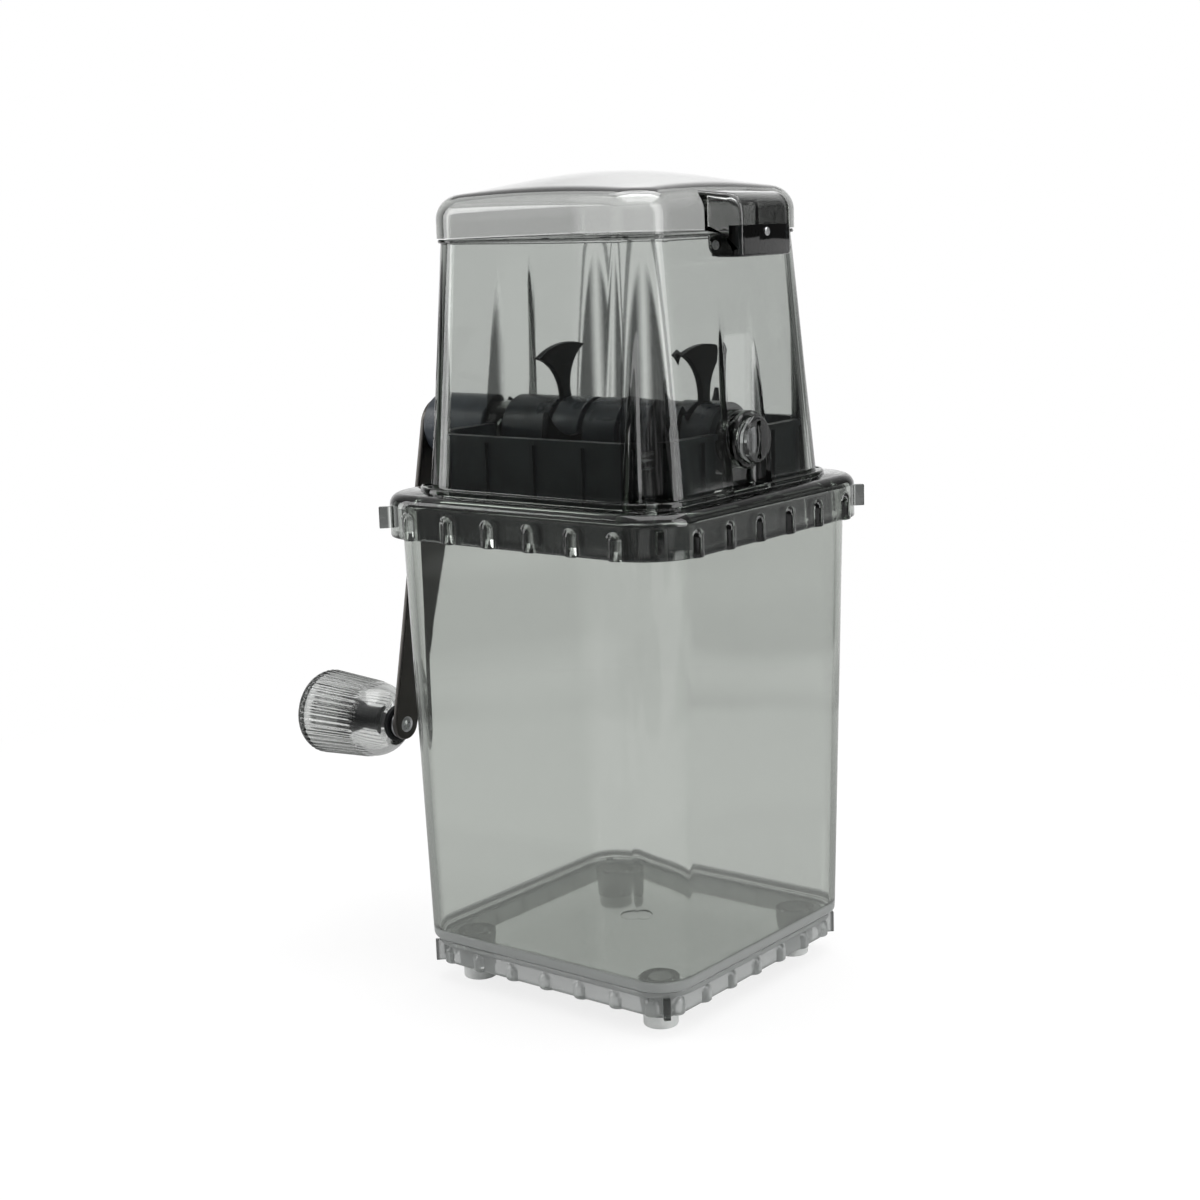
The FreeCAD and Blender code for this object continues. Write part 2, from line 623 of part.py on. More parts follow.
# ---------------------------------------------------------------- upper housing
def add_side_flute(body, name, side, floor, extra, bottom, top):
    """Upright prism of a side flute: flat floor, rounded inner corners, open outward.
    Extra widens it all round, for the bulge that the flute makes inside the wall."""
    sketch = new_sketch(body, name, "XY_Plane", bottom)
    near = f"{side} * ({floor} - ({extra}))"
    far = f"{side} * (hopper_foot_half + 2 * overrun)"
    half = f"(flute_half + {extra})"
    draw_outline(sketch, rectangle(near, far, f"-{half}", half))
    prism = pad(body, sketch, f"{top} - {bottom}")
    reach = size(near)
    middle_height = (size(top) + size(bottom)) / 2
    return round_edges(
        body, prism, f"flute_round + {extra}",
        lambda middle: abs(middle.x - reach) < 1e-4 and abs(middle.z - middle_height) < 1e-4
        and abs(abs(middle.y) - size(half)) < 1e-4)


def make_flutes(label, extra, bottom):
    """All six recesses of the hopper as one cutter: two side flutes, four screw wells."""
    body = new_body(label)
    top = "hopper_top + overrun"
    add_side_flute(body, label + "Hinge", 1, hopper_half_at("hinge_flute_top"), extra, bottom, top)
    add_side_flute(body, label + "Crank", -1, hopper_half_at("crank_flute_top"), extra, bottom, top)
    well = new_sketch(body, label + "Well", "XY_Plane", bottom)
    draw_circle(well, f"well_radius + {extra}", "well_centre", "well_centre")
    one = pad(body, well, f"{top} - {bottom}")
    middle = new_sketch(body, label + "Middle", "XY_Plane")
    draw_circle(middle, "well_radius")
    repeat_round(body, [one], (middle, "N_Axis"), 4)
    return body


def hopper_block(label, inset, bottom, top):
    """The tapered block of the hopper, set in from its outer wall by an amount."""
    body = new_body(label)
    low = new_sketch(body, label + "Low", "XY_Plane", bottom)
    half = hopper_half_at(bottom)
    draw_rounded_square(low, f"{half} - {inset}", f"hopper_corner + {half} - hopper_top_half - {inset}")
    pad(body, low, f"{top} - ({bottom})", taper=f"{hopper_half_at(top)} - {half}")
    return body


def make_collar():
    """Plate over the jar's rim, with a well rounded edge and the step ring of the hopper."""
    body = new_body("collar_plate")
    plate = new_sketch(body, "CollarPlate", "XY_Plane", COLLAR_LOW)
    draw_rounded_square(plate, COLLAR_HALF, "collar_corner")
    flat = pad(body, plate, f"collar_top - {COLLAR_LOW}")
    top = size("collar_top")
    round_edges(body, flat, "collar_round", lambda middle: abs(middle.z - top) < 1e-4)
    recess = new_sketch(body, "RimRecess", "XY_Plane", COLLAR_LOW)
    draw_rounded_square(recess, f"{COLLAR_HALF} - collar_wall", "collar_corner - collar_wall")
    pocket(body, recess, f"{COLLAR_UNDER} - {COLLAR_LOW}", up=True)
    step = new_sketch(body, "StepRing", "XY_Plane", "collar_top")
    draw_rounded_square(step, "hopper_foot_half + step_width", "step_corner")
    ring = pad(body, step, "step_height")
    crest = top + size("step_height")
    round_edges(body, ring, "step_round", lambda middle: abs(middle.z - crest) < 1e-4)
    return body


def make_bosses():
    """Bearing bosses through the hopper's two side walls."""
    body = new_body("bearing_bosses")
    for side, start in ((1, "boss_inside"), (-1, "-boss_face")):
        face = new_sketch(body, f"Boss{side + 1}", "YZ_Plane", start)
        draw_circle(face, "boss_radius", "0", "shaft_height")
        pad(body, face, "boss_face - boss_inside")
    return body


def make_upper_housing():
    """Collar that sits on the jar, and the fluted hopper that stands on it, in one moulding."""
    flutes = make_flutes("flute_cutter", "0", "collar_top")
    bulges = make_flutes("flute_bulges", "plastic_wall", "collar_bottom")
    outer = hopper_block("hopper_outside", "0", "collar_top - step_round", "hopper_top")
    inner = hopper_block("hopper_inside", "plastic_wall", "collar_bottom - overrun", "hopper_top + overrun")
    fluted = boolean("Cut", "hopper_fluted", outer, flutes)
    bead_body = new_body("mouth_bead")
    bead = new_sketch(bead_body, "MouthBead", "XY_Plane", "hopper_top - bead_height")
    draw_rounded_square(bead, "hopper_top_half + bead_proud", "hopper_corner + bead_proud")
    pad(bead_body, bead, "bead_height")
    skirt = ridged_skirt(
        "collar_skirt", COLLAR_HALF, "collar_corner", "collar_wall", "collar_bottom", COLLAR_LOW,
        "(collar_bottom + lug_raise)", COLLAR_RIDGES)
    outside = doc.addObject("Part::MultiFuse", "housing_outside")
    outside.Shapes = [fluted, make_collar(), skirt, bead_body]
    cavity = boolean("Cut", "housing_cavity", inner, bulges)
    opened = boolean("Cut", "housing_opened", outside, cavity)
    bossed = boolean("Fuse", "housing_bossed", opened, make_bosses())
    holes = new_body("housing_holes")
    bearing = new_sketch(holes, "BearingHoles", "YZ_Plane")
    draw_circle(bearing, "bearing_radius + shaft_gap", "0", "shaft_height")
    pad(holes, bearing, "2 * (boss_face + overrun)", middle=True)
    shank = new_sketch(holes, "ScrewHoles", "XY_Plane", "jar_top")
    draw_circle(shank, "screw_radius + screw_gap", "screw_centre", "screw_centre")
    hole = pad(holes, shank, "collar_top + overrun - jar_top")
    seat = new_sketch(holes, "ScrewSeats", "XY_Plane", "collar_top")
    draw_circle(seat, "screw_seat", "screw_centre", "screw_centre")
    flat = pad(holes, seat, "step_height + overrun")
    middle = new_sketch(holes, "HoleMiddle", "XY_Plane")
    draw_circle(middle, "screw_radius")
    repeat_round(holes, [hole, flat], (middle, "N_Axis"), 4)
    keep(boolean("Cut", "upper_housing", bossed, holes))
    return outer


# ---------------------------------------------------------------- bearings
def make_bearing_plug():
    """Clear plug that carries the far end of the shaft, with a coin slot in its cap."""
    body = on_shaft(new_body("bearing_plug"))
    outline = new_sketch(body, "PlugOutline", "XZ_Plane")
    cap = "boss_face + plug_cap_height"
    bore = "journal_radius + shaft_gap"
    draw_outline(outline, [
        ("boss_inside", bore),
        ("boss_face - bearing_web", bore),
        ("boss_face - bearing_web", "0"),
        (cap, "0"),
        (cap, "plug_cap_radius - plug_cap_edge"),
        (f"{cap} - plug_cap_edge", "plug_cap_radius"),
        ("boss_face", "plug_cap_radius"),
        ("boss_face", "bearing_radius"),
        ("boss_inside", "bearing_radius")])
    turned(body, outline)
    slot = new_sketch(body, "CoinSlot", "YZ_Plane", cap)
    length = "(plug_cap_radius - plug_slot_end)"
    draw_outline(slot, rectangle("-plug_slot / 2", "plug_slot / 2", f"-{length}", length))
    pocket(body, slot, "plug_cap_height / 2")
    keep(body)


def make_crank_bush():
    """Flanged bush that carries the crank end of the shaft."""
    body = on_shaft(new_body("crank_bush"))
    outline = new_sketch(body, "BushOutline", "XZ_Plane")
    bore = "journal_radius + shaft_gap"
    draw_outline(outline, [
        ("-boss_inside", bore),
        ("-boss_inside", "bearing_radius"),
        ("-boss_face", "bearing_radius"),
        ("-boss_face", "bush_flange_radius"),
        ("-boss_face - bush_flange", "bush_flange_radius"),
        ("-boss_face - bush_flange", bore)])
    turned(body, outline)
    keep(body)


# ---------------------------------------------------------------- cassette
def make_cassette():
    """Ribbed frame in the foot of the hopper: four walls with a lip and outer ribs, a
    flange that hangs under the collar, ledges for the combs, and brackets under the
    combs that the blades pass between."""
    body = new_body("cassette_block")
    walls = new_sketch(body, "CassetteWalls", "XY_Plane", "cassette_bottom")
    draw_rounded_square(walls, "cassette_half", "cassette_corner")
    pad(body, walls, "cassette_top - cassette_bottom")
    flange = new_sketch(body, "CassetteFlange", "XY_Plane", "jar_top - cassette_flange")
    draw_rounded_square(flange, "cassette_flange_half", "hopper_corner")
    pad(body, flange, "cassette_flange")
    lip = new_sketch(body, "CassetteLip", "XY_Plane", "cassette_top - rim_height")
    draw_rounded_square(lip, "cassette_half + rib_proud", "cassette_corner + rib_proud")
    pad(body, lip, "rim_height")
    out = "(cassette_half + rib_proud)"
    ribs = []
    for name in ("Across", "Along"):
        for index in (-1, 0, 1):
            place = f"({index} * rib_pitch)"
            rib = new_sketch(body, f"Rib{name}{index + 1}", "XY_Plane", "jar_top")
            low, high = f"{place} - rib_width / 2", f"{place} + rib_width / 2"
            sides = (low, high, f"-{out}", out) if name == "Across" else (f"-{out}", out, low, high)
            draw_outline(rib, rectangle(*sides))
            ribs.append(pad(body, rib, "cassette_top - jar_top"))
    throat = new_sketch(body, "CassetteThroat", "XY_Plane", "cassette_bottom")
    draw_rounded_square(throat, "cassette_half - cassette_wall", "cassette_corner - cassette_wall")
    pocket(body, throat, "cassette_top - cassette_bottom", up=True)
    # ledges along both long walls, under the combs
    wall = "(cassette_half - cassette_wall / 2)"
    under = "(comb_height - comb_thickness)"
    lip_edge = "(cassette_half - cassette_wall - ledge_width)"
    for side in (-1, 1):
        ledge = new_sketch(body, f"Ledge{side + 1}", "YZ_Plane")
        draw_outline(ledge, [
            (f"{side} * {lip_edge}", under),
            (f"{side} * {wall}", under),
            (f"{side} * {wall}", f"{under} - ledge_height"),
            (f"{side} * {lip_edge}", f"{under} - ledge_height / 3")])
        pad(body, ledge, f"2 * {wall}", middle=True)
    # brackets under the combs, half way between the blades
    for side in (-1, 1):
        bracket = new_sketch(body, f"Bracket{side + 1}", "YZ_Plane", blade_place(-0.5))
        draw_outline(bracket, [
            (f"{side} * (comb_nose + bracket_inset)", under),
            (f"{side} * {wall}", under),
            (f"{side} * {wall}", "cassette_bottom + bracket_inset"),
            (f"{side} * (comb_nose + bracket_inset)", f"{under} - bracket_nose")])
        web = pad(body, bracket, "bracket_width", middle=True)
        repeat_along(body, [web], (bracket, "N_Axis"), f"{BLADE_COUNT} * blade_pitch", BLADE_COUNT + 1)
    # bosses under the housing screws, in the corners of the flange
    boss = new_sketch(body, "ScrewBoss", "XY_Plane", "cassette_bottom + bracket_inset")
    draw_circle(boss, "screw_boss", "screw_centre", "screw_centre")
    one = pad(body, boss, "jar_top - cassette_bottom - bracket_inset")
    repeat_round(body, [one], (flange, "N_Axis"), 4)
    hole = new_sketch(body, "ScrewHole", "XY_Plane", "jar_top")
    draw_circle(hole, "screw_radius + screw_gap", "screw_centre", "screw_centre")
    drilled = pocket(body, hole, "screw_length")
    repeat_round(body, [drilled], (flange, "N_Axis"), 4)
    # windows in both side walls, open above the flange, round the bearings and the flutes
    window = new_sketch(body, "BearingWindow", "YZ_Plane")
    clear = "(flute_half + plastic_wall + seat_gap)"
    draw_outline(window, rectangle(f"-{clear}", clear, "jar_top", "cassette_top + overrun"))
    cut_both_ways(body, window, "2 * (cassette_half + cassette_wall)")
    clearance = make_flutes("cassette_clearance", "plastic_wall + seat_gap", "jar_top")
    keep(boolean("Cut", "cassette_frame", body, clearance))


def make_combs():
    """Two steel comb plates on the ledges, with a slot for every blade."""
    body = new_body("one_comb")
    plate = new_sketch(body, "CombPlate", "XY_Plane", "comb_height - comb_thickness")
    back = "(cassette_half - cassette_wall - seat_gap)"
    end = "(well_centre - well_radius - plastic_wall - seat_gap)"
    draw_outline(plate, [
        (f"-{end}", "-comb_nose"),
        (f"-{end}", f"-{back} + comb_corner"),
        (f"-{end} + comb_corner", f"-{back}"),
        (f"{end} - comb_corner", f"-{back}"),
        (end, f"-{back} + comb_corner"),
        (end, "-comb_nose")])
    pad(body, plate, "comb_thickness")
    slot = new_sketch(body, "CombSlot", "XY_Plane", "comb_height - comb_thickness")
    low = f"{blade_place(0)} - comb_slot / 2"
    high = f"{blade_place(0)} + comb_slot / 2"
    depth = "sqrt(blade_reach^2 - (shaft_height - comb_height)^2) + comb_slot_end"
    draw_outline(slot, rectangle(low, high, f"-({depth})", "-comb_nose + overrun"))
    cut = pocket(body, slot, "comb_thickness", up=True)
    repeat_along(body, [cut], (slot, "H_Axis"), f"{BLADE_COUNT - 1} * blade_pitch", BLADE_COUNT)
    other = doc.addObject("Part::Mirroring", "other_comb")
    other.Source = body
    other.Normal = Vector(0, 1, 0)
    pair = doc.addObject("Part::Compound", "breaker_combs")
    pair.Links = [body, other]
    keep(pair)


def make_housing_screws():
    """Four screws down the corner wells, through the collar into the cassette."""
    body = new_body("housing_screws")
    head = new_sketch(body, "ScrewHead", "XY_Plane", "collar_top")
    draw_circle(head, "screw_head", "screw_centre", "screw_centre")
    cap = pad(body, head, "screw_cap")
    depth = "(screw_length - screw_end_gap)"
    shank = new_sketch(body, "ScrewShank", "XY_Plane", f"jar_top - {depth}")
    draw_circle(shank, "screw_radius", "screw_centre", "screw_centre")
    stem = pad(body, shank, f"collar_top - jar_top + {depth}")
    middle = new_sketch(body, "ScrewMiddle", "XY_Plane")
    draw_circle(middle, "screw_radius")
    repeat_round(body, [cap, stem], (middle, "N_Axis"), 4)
    keep(body)


# ---------------------------------------------------------------- blade shaft
def make_shaft():
    """Steel shaft: square between the bearings, round journals at both ends."""
    body = on_crank(new_body("blade_shaft"))
    square = new_sketch(body, "ShaftSquare", "YZ_Plane", "-boss_inside + seat_gap")
    half = "square_width / 2"
    draw_outline(square, rectangle(f"-{half}", half, f"-{half}", half))
    pad(body, square, "2 * (boss_inside - seat_gap)")
    journal = new_sketch(body, "ShaftJournal", "YZ_Plane", "-arm_face - arm_thickness")
    draw_circle(journal, "journal_radius")
    pad(body, journal, "arm_face + arm_thickness + boss_face - bearing_web - seat_gap")
    keep(body)


def make_blade(index):
    """Stamped fishtail blade: a ring round the shaft, a waisted neck and a flared head
    whose far edge follows the circle that the tips sweep."""
    body = on_crank(new_body(f"blade_{index + 1}"))
    turn = f"(blade_first_angle + {index} * blade_twist_angle)"
    bind(body, "Placement.Rotation.Angle", f"({turn} - crank_swing_angle) * 1deg")
    thickness = "blade_thickness"
    out = f"{blade_place(index)} - {thickness} / 2"
    ring = new_sketch(body, f"BladeRing{index}", "YZ_Plane", out)
    draw_circle(ring, "blade_ring")
    pad(body, ring, thickness)
    tail = new_sketch(body, f"BladeTail{index}", "YZ_Plane", out)
    tip = "sqrt(blade_reach^2 - blade_head_half^2)"
    draw_outline(tail, [
        ("-blade_neck_half", "blade_root", "blade_waist"),
        ("-blade_head_half", tip, f"{tip} - blade_reach"),
        ("blade_head_half", tip, "blade_waist"),
        ("blade_neck_half", "blade_root")])
    pad(body, tail, thickness)
    # the shaft's square hole stays square to the crank, so the stamping is turned round it
    hole = new_sketch(body, f"BladeHole{index}", "YZ_Plane", out)
    draw_circle(hole, "square_width / sqrt(2) + shaft_gap")
    pocket(body, hole, thickness, up=True)
    keep(body)


def make_spacers():
    """Round sleeves between the blades and out to both bearings."""
    body = on_crank(new_body("shaft_spacers"))
    ends = ["-boss_inside + seat_gap"]
    for index in range(BLADE_COUNT):
        ends.append(f"{blade_place(index)} - blade_thickness / 2")
        ends.append(f"{blade_place(index)} + blade_thickness / 2")
    ends.append("boss_inside - seat_gap")
    for index in range(BLADE_COUNT + 1):
        start, end = ends[2 * index], ends[2 * index + 1]
        sleeve = new_sketch(body, f"Spacer{index}", "YZ_Plane", start)
        draw_circle(sleeve, "spacer_radius")
        draw_circle(sleeve, "square_width / sqrt(2) + shaft_gap")
        pad(body, sleeve, f"{end} - ({start})")
    keep(body)


# ---------------------------------------------------------------- crank
def make_crank_hub():
    """Round hub that holds the arm away from the hopper."""
    body = on_crank(new_body("crank_hub"))
    end = new_sketch(body, "HubEnd", "YZ_Plane", "-arm_face")
    draw_circle(end, "hub_radius")
    draw_circle(end, "journal_radius + shaft_gap")
    pad(body, end, "arm_face - boss_face - bush_flange - seat_gap")
    keep(body)


def make_crank_arm():
    """Flat tapered arm: two round ends joined by the lines that touch both."""
    body = on_crank(new_body("crank_arm"))
    outline = new_sketch(body, "ArmOutline", "YZ_Plane", "-arm_face - arm_thickness")
    lean = "((arm_top_radius - arm_foot_radius) / arm_length)"
    slim = f"sqrt(1 - {lean}^2)"
    shoulder = f"-arm_top_radius * {lean}"
    ankle = f"-arm_length - arm_foot_radius * {lean}"
    draw_outline(outline, [
        (f"arm_top_radius * {slim}", shoulder, f"arm_top_radius * (1 + {lean})"),
        (f"-arm_top_radius * {slim}", shoulder),
        (f"-arm_foot_radius * {slim}", ankle, f"arm_foot_radius * (1 - {lean})"),
        (f"arm_foot_radius * {slim}", ankle)])
    pad(body, outline, "arm_thickness")
    holes = new_sketch(body, "ArmHoles", "YZ_Plane", "-arm_face - arm_thickness")
    draw_circle(holes, "journal_radius + shaft_gap")
    draw_circle(holes, "spindle_radius + shaft_gap", "0", "-arm_length")
    pocket(body, holes, "arm_thickness", up=True)
    keep(body)


def make_hub_nut():
    """Domed nut that holds the arm on the shaft."""
    body = on_crank(new_body("hub_nut"))
    outline = new_sketch(body, "NutOutline", "XZ_Plane")
    seat = "-arm_face - arm_thickness"
    tall = f"{seat} - nut_height"
    draw_outline(outline, [
        (seat, "0"),
        (seat, "nut_radius"),
        (f"{tall} + nut_dome", "nut_radius", "nut_bow"),
        (tall, "nut_flat"),
        (tall, "0")])
    turned(body, outline)
    keep(body)


# ---------------------------------------------------------------- knob
KNOB_START = "(arm_face + arm_thickness + washer_thickness + seat_gap)"


def chord_bow(radius, chord_squared):
    """Bow of an arc of a known radius whose chord's square is given."""
    return f"({radius} - sqrt({radius}^2 - ({chord_squared}) / 4))"


def ball_bow(ball, along):
    """Bow of a ball's outline from its widest ring to a cut that far along its axis."""
    ring = f"sqrt({ball}^2 - ({along})^2)"
    return chord_bow(ball, f"({along})^2 + ({ball} - {ring})^2")


def crown_bow(reach, rise):
    """Bow of an arc that leaves the axis square to it and falls by a rise over a reach."""
    radius = f"(({reach}^2 + {rise}^2) / (2 * {rise}))"
    return chord_bow(radius, f"{reach}^2 + {rise}^2")


def knob_sketch(body, name):
    """A sketch for a form turned about the knob's axis: across is X, up is the radius."""
    return new_sketch(body, name, "XZ_Plane", "0", "-arm_length")


def make_spindle():
    """Steel spindle riveted in the arm, with a head at its far end that keeps the knob."""
    body = on_crank(new_body("knob_spindle"))
    outline = knob_sketch(body, "SpindleOutline")
    head_end = f"-({KNOB_START} + core_length - core_seat + seat_gap + spindle_head_height)"
    head_start = f"({head_end} + spindle_head_height)"
    draw_outline(outline, [
        ("-arm_face + rivet_height", "0", "rivet_bow"),
        ("-arm_face", "rivet_radius"),
        ("-arm_face", "spindle_radius"),
        (head_start, "spindle_radius"),
        (head_start, "spindle_head"),
        (head_end, "spindle_head"),
        (head_end, "0")])
    turned(body, outline)
    keep(body)


def make_washer():
    """Washer on the spindle, against the arm."""
    body = on_crank(new_body("knob_washer"))
    outer_face = "-arm_face - arm_thickness - washer_thickness"
    ring = new_sketch(body, "WasherRing", "YZ_Plane", outer_face, "-arm_length")
    draw_circle(ring, "washer_radius")
    draw_circle(ring, "spindle_radius + shaft_gap")
    pad(body, ring, "washer_thickness")
    keep(body)


def make_knob_core():
    """Dark core that turns on the spindle inside the clear knob: a flange against the
    washer, a waisted stem, and a plain end in the knob's socket."""
    body = on_crank(new_body("knob_core"))
    outline = knob_sketch(body, "CoreOutline")
    start = f"-{KNOB_START}"
    end = f"({start} - core_length)"
    seat = f"({end} + core_seat)"
    bore = "spindle_radius + shaft_gap"
    neck = f"({start} - core_flange - core_neck)"
    draw_outline(outline, [
        (start, bore),
        (start, "core_flange_radius"),
        (f"{start} - core_flange", "core_flange_radius"),
        (f"{start} - core_flange", "core_radius"),
        (neck, "core_radius"),
        (f"{neck} - core_radius + core_waist", "core_waist"),
        (f"{end} + core_end + core_radius - core_waist", "core_waist"),
        (f"{end} + core_end", "core_radius"),
        (end, "core_radius"),
        (end, "spindle_head + seat_gap"),
        (seat, "spindle_head + seat_gap"),
        (seat, bore)])
    turned(body, outline)
    keep(body)


def make_knob_shell():
    """Hollow clear knob: a round inner end, a ribbed grip that widens outwards, a
    swelling outer end, and a tube inside that holds the far end of the core."""
    body = on_crank(new_body("knob_shell"))
    outline = knob_sketch(body, "KnobOutline")
    face = f"-{KNOB_START}"
    hole = "(core_radius + shaft_gap)"
    ball = f"({face} - knob_ball_centre)"
    inner_ball = "(knob_ball - knob_wall)"
    grip = f"({face} - knob_grip_end)"
    crown = f"({face} - knob_length)"
    rim = f"({crown} + knob_end_rise)"
    rim_radius = "(knob_grip_radius - knob_end_round)"
    socket = f"({face} - core_length + knob_socket_lap)"
    inner_end = f"({rim} + knob_wall)"
    neck = f"({face} - core_flange)"
    neck_along = "(knob_ball_centre - core_flange)"
    inner_along = f"sqrt({inner_ball}^2 - {hole}^2)"
    draw_outline(outline, [
        (neck, hole),
        (neck, f"sqrt(knob_ball^2 - {neck_along}^2)", ball_bow("knob_ball", neck_along)),
        (ball, "knob_ball"),
        (grip, "knob_grip_radius", "knob_end_round * (1 - 1 / sqrt(2))"),
        (rim, rim_radius, crown_bow(rim_radius, "knob_end_rise")),
        (crown, "0"),
        (inner_end, "0"),
        (inner_end, hole),
        (socket, hole),
        (socket, f"{hole} + knob_socket_wall"),
        (inner_end, f"{hole} + knob_socket_wall"),
        (inner_end, f"{rim_radius} - knob_wall / 2"),
        (grip, "knob_grip_radius - knob_wall"),
        (ball, inner_ball, f"-{ball_bow(inner_ball, inner_along)}"),
        (f"{ball} + {inner_along}", hole)])
    turned(body, outline)
    rib = new_sketch(body, "KnobRib", "YZ_Plane", grip, "-arm_length")
    draw_circle(rib, "knob_rib_radius", "0", "knob_grip_radius + knob_rib_proud - knob_rib_radius")
    one = pad(body, rib, "knob_grip_end - knob_ball_centre")
    repeat_round(body, [one], (rib, "N_Axis"), "knob_rib_count")
    keep(body)


# ---------------------------------------------------------------- lid
def lid_crown(label, inset):
    """Everything above the lid's top: a pillow surface, level along its four edges and
    swelling to the middle as (1 - x^2)(1 - y^2), raised to a solid."""
    half = size("lid_half")
    reach = half + size("seat_gap")
    fall = (reach / half) ** 2
    weights = [1 - fall, 1 + fall, 1 - fall]
    surface = Part.BezierSurface()
    surface.increase(2, 2)
    for column, across in enumerate((-reach, 0, reach)):
        for line, along in enumerate((-reach, 0, reach)):
            height = size("lid_edge") - size(inset) + size("lid_rise") * weights[column] * weights[line]
            surface.setPole(column + 1, line + 1, Vector(across, along, height))
    above = doc.addObject("Part::Feature", label)
    above.Shape = surface.toShape().extrude(Vector(0, 0, 2 * size("lid_rise") + size("overrun")))
    return above


def domed_block(label, inset, bottom):
    """Block with the lid's outline, pillowed top and rounded edge, set in by an amount."""
    body = new_body(label + "_block")
    base = new_sketch(body, label + "Base", "XY_Plane", bottom)
    draw_rounded_square(base, f"lid_half - {inset}", f"lid_corner - {inset}")
    pad(body, base, f"lid_edge + lid_rise + overrun / 2 - ({bottom})")
    domed = boolean("Cut", label + "_domed", body, lid_crown(label + "_above", inset))
    doc.recompute()
    radius = size(f"lid_round - {inset}")
    level = size("lid_edge - lid_round - plastic_wall")
    edges = []
    for number, edge in enumerate(domed.Shape.Edges, start=1):
        if edge.valueAt((edge.FirstParameter + edge.LastParameter) / 2).z > level:
            edges.append((number, radius, radius))
    rounded = doc.addObject("Part::Fillet", label)
    rounded.Base = domed
    rounded.Edges = edges
    return rounded


def bulge_top_outline(face, top, inner, inner_top):
    """The upper corners of the hinge bulge's side view, from its outer face inwards."""
    return [
        (face, f"{top} - bulge_round", "(bulge_round * (1 - 1 / sqrt(2)))"),
        (f"{face} - bulge_round", top),
        (inner, inner_top)]


def make_lid():
    """Pillowed lid with a hollow hinge bulge on one side, open below."""
    outside = domed_block("lid_outside", "0", LID_BOTTOM)
    inside = domed_block("lid_inside", "plastic_wall", f"{LID_BOTTOM} - overrun")
    bulge = new_body("lid_bulge")
    side = new_sketch(bulge, "BulgeSide", "XZ_Plane")
    cheek = "cheek_radius"
    low = f"pin_height - {cheek}"
    behind = "lid_half - plastic_wall"
    draw_outline(side, [
        (f"pin_centre - {cheek}", "pin_height", f"({cheek} * (1 - 1 / sqrt(2)))"),
        ("pin_centre", low),
        ("bulge_face", low)]
        + bulge_top_outline("bulge_face", "bulge_top", behind, "bulge_top + bulge_slope") + [
        (behind, LID_BOTTOM),
        (f"pin_centre - {cheek}", LID_BOTTOM)])
    pad(bulge, side, "2 * bulge_half", middle=True)
    hollow = new_body("bulge_hollow")
    inner = new_sketch(hollow, "BulgeHollow", "XZ_Plane")
    face = "(bulge_face - bulge_wall)"
    top = "(bulge_top - bulge_wall)"
    draw_outline(inner, [
        ("lid_half", f"{low} - overrun"),
        (face, f"{low} - overrun")] + bulge_top_outline(face, top, "lid_half", f"{top} + bulge_slope"))
    width = "2 * (bulge_half - bulge_wall)"
    pad(hollow, inner, width, middle=True)
    slit = new_sketch(hollow, "BulgeSlit", "XZ_Plane")
    inmost = f"pin_centre - {cheek} - overrun"
    draw_outline(slit, rectangle(inmost, "lid_half + overrun", f"{low} - overrun", LID_BOTTOM))
    pad(hollow, slit, width, middle=True)
    pin = new_sketch(hollow, "PinBore", "XZ_Plane")
    draw_circle(pin, "pin_radius + shaft_gap", "pin_centre", "pin_height")
    pad(hollow, pin, "2 * (bulge_half + overrun)", middle=True)
    screw = new_sketch(hollow, "BlockScrewBore", "YZ_Plane", f"{face} - overrun")
    draw_circle(screw, "block_screw_radius + screw_gap", "0", "block_screw_height")
    pad(hollow, screw, "bulge_wall + 2 * overrun")
    outer = boolean("Fuse", "lid_solid", outside, bulge)
    shelled = boolean("Cut", "lid_shelled", outer, inside)
    keep(boolean("Cut", "lid_shell", shelled, hollow))


def make_hinge_bracket(hopper_outside):
    """Dark bracket on the hopper's wall whose knuckle carries the hinge pin."""
    body = new_body("bracket_block")
    side = new_sketch(body, "BracketSide", "XZ_Plane")
    knuckle = "knuckle_radius"
    bow = f"({knuckle} * (1 - 1 / sqrt(2)))"
    bead = "hopper_top - bead_height - shaft_gap"
    draw_outline(side, [
        ("hopper_top_half - plastic_wall", f"pin_height - {knuckle}"),
        ("pin_centre", f"pin_height - {knuckle}", bow),
        (f"pin_centre + {knuckle}", "pin_height", bow),
        ("pin_centre", f"pin_height + {knuckle}"),
        ("pin_centre - knuckle_radius", bead),
        ("hopper_top_half - plastic_wall", bead)])
    pad(body, side, "2 * (bulge_half - bulge_wall - liner_wall - seat_gap)", middle=True)
    bore = new_sketch(body, "BracketBore", "XZ_Plane")
    draw_circle(bore, "pin_radius + shaft_gap", "pin_centre", "pin_height")
    cut_both_ways(body, bore, "2 * bulge_half")
    keep(boolean("Cut", "hinge_bracket", body, hopper_outside))


def make_hinge_pin():
    """Steel pin, fast in the bracket, on which the lid's cheeks turn."""
    body = new_body("hinge_pin")
    end = new_sketch(body, "PinEnd", "XZ_Plane")
    draw_circle(end, "pin_radius", "pin_centre", "pin_height")
    pad(body, end, "2 * (bulge_half - pin_end_gap)", middle=True)
    keep(body)


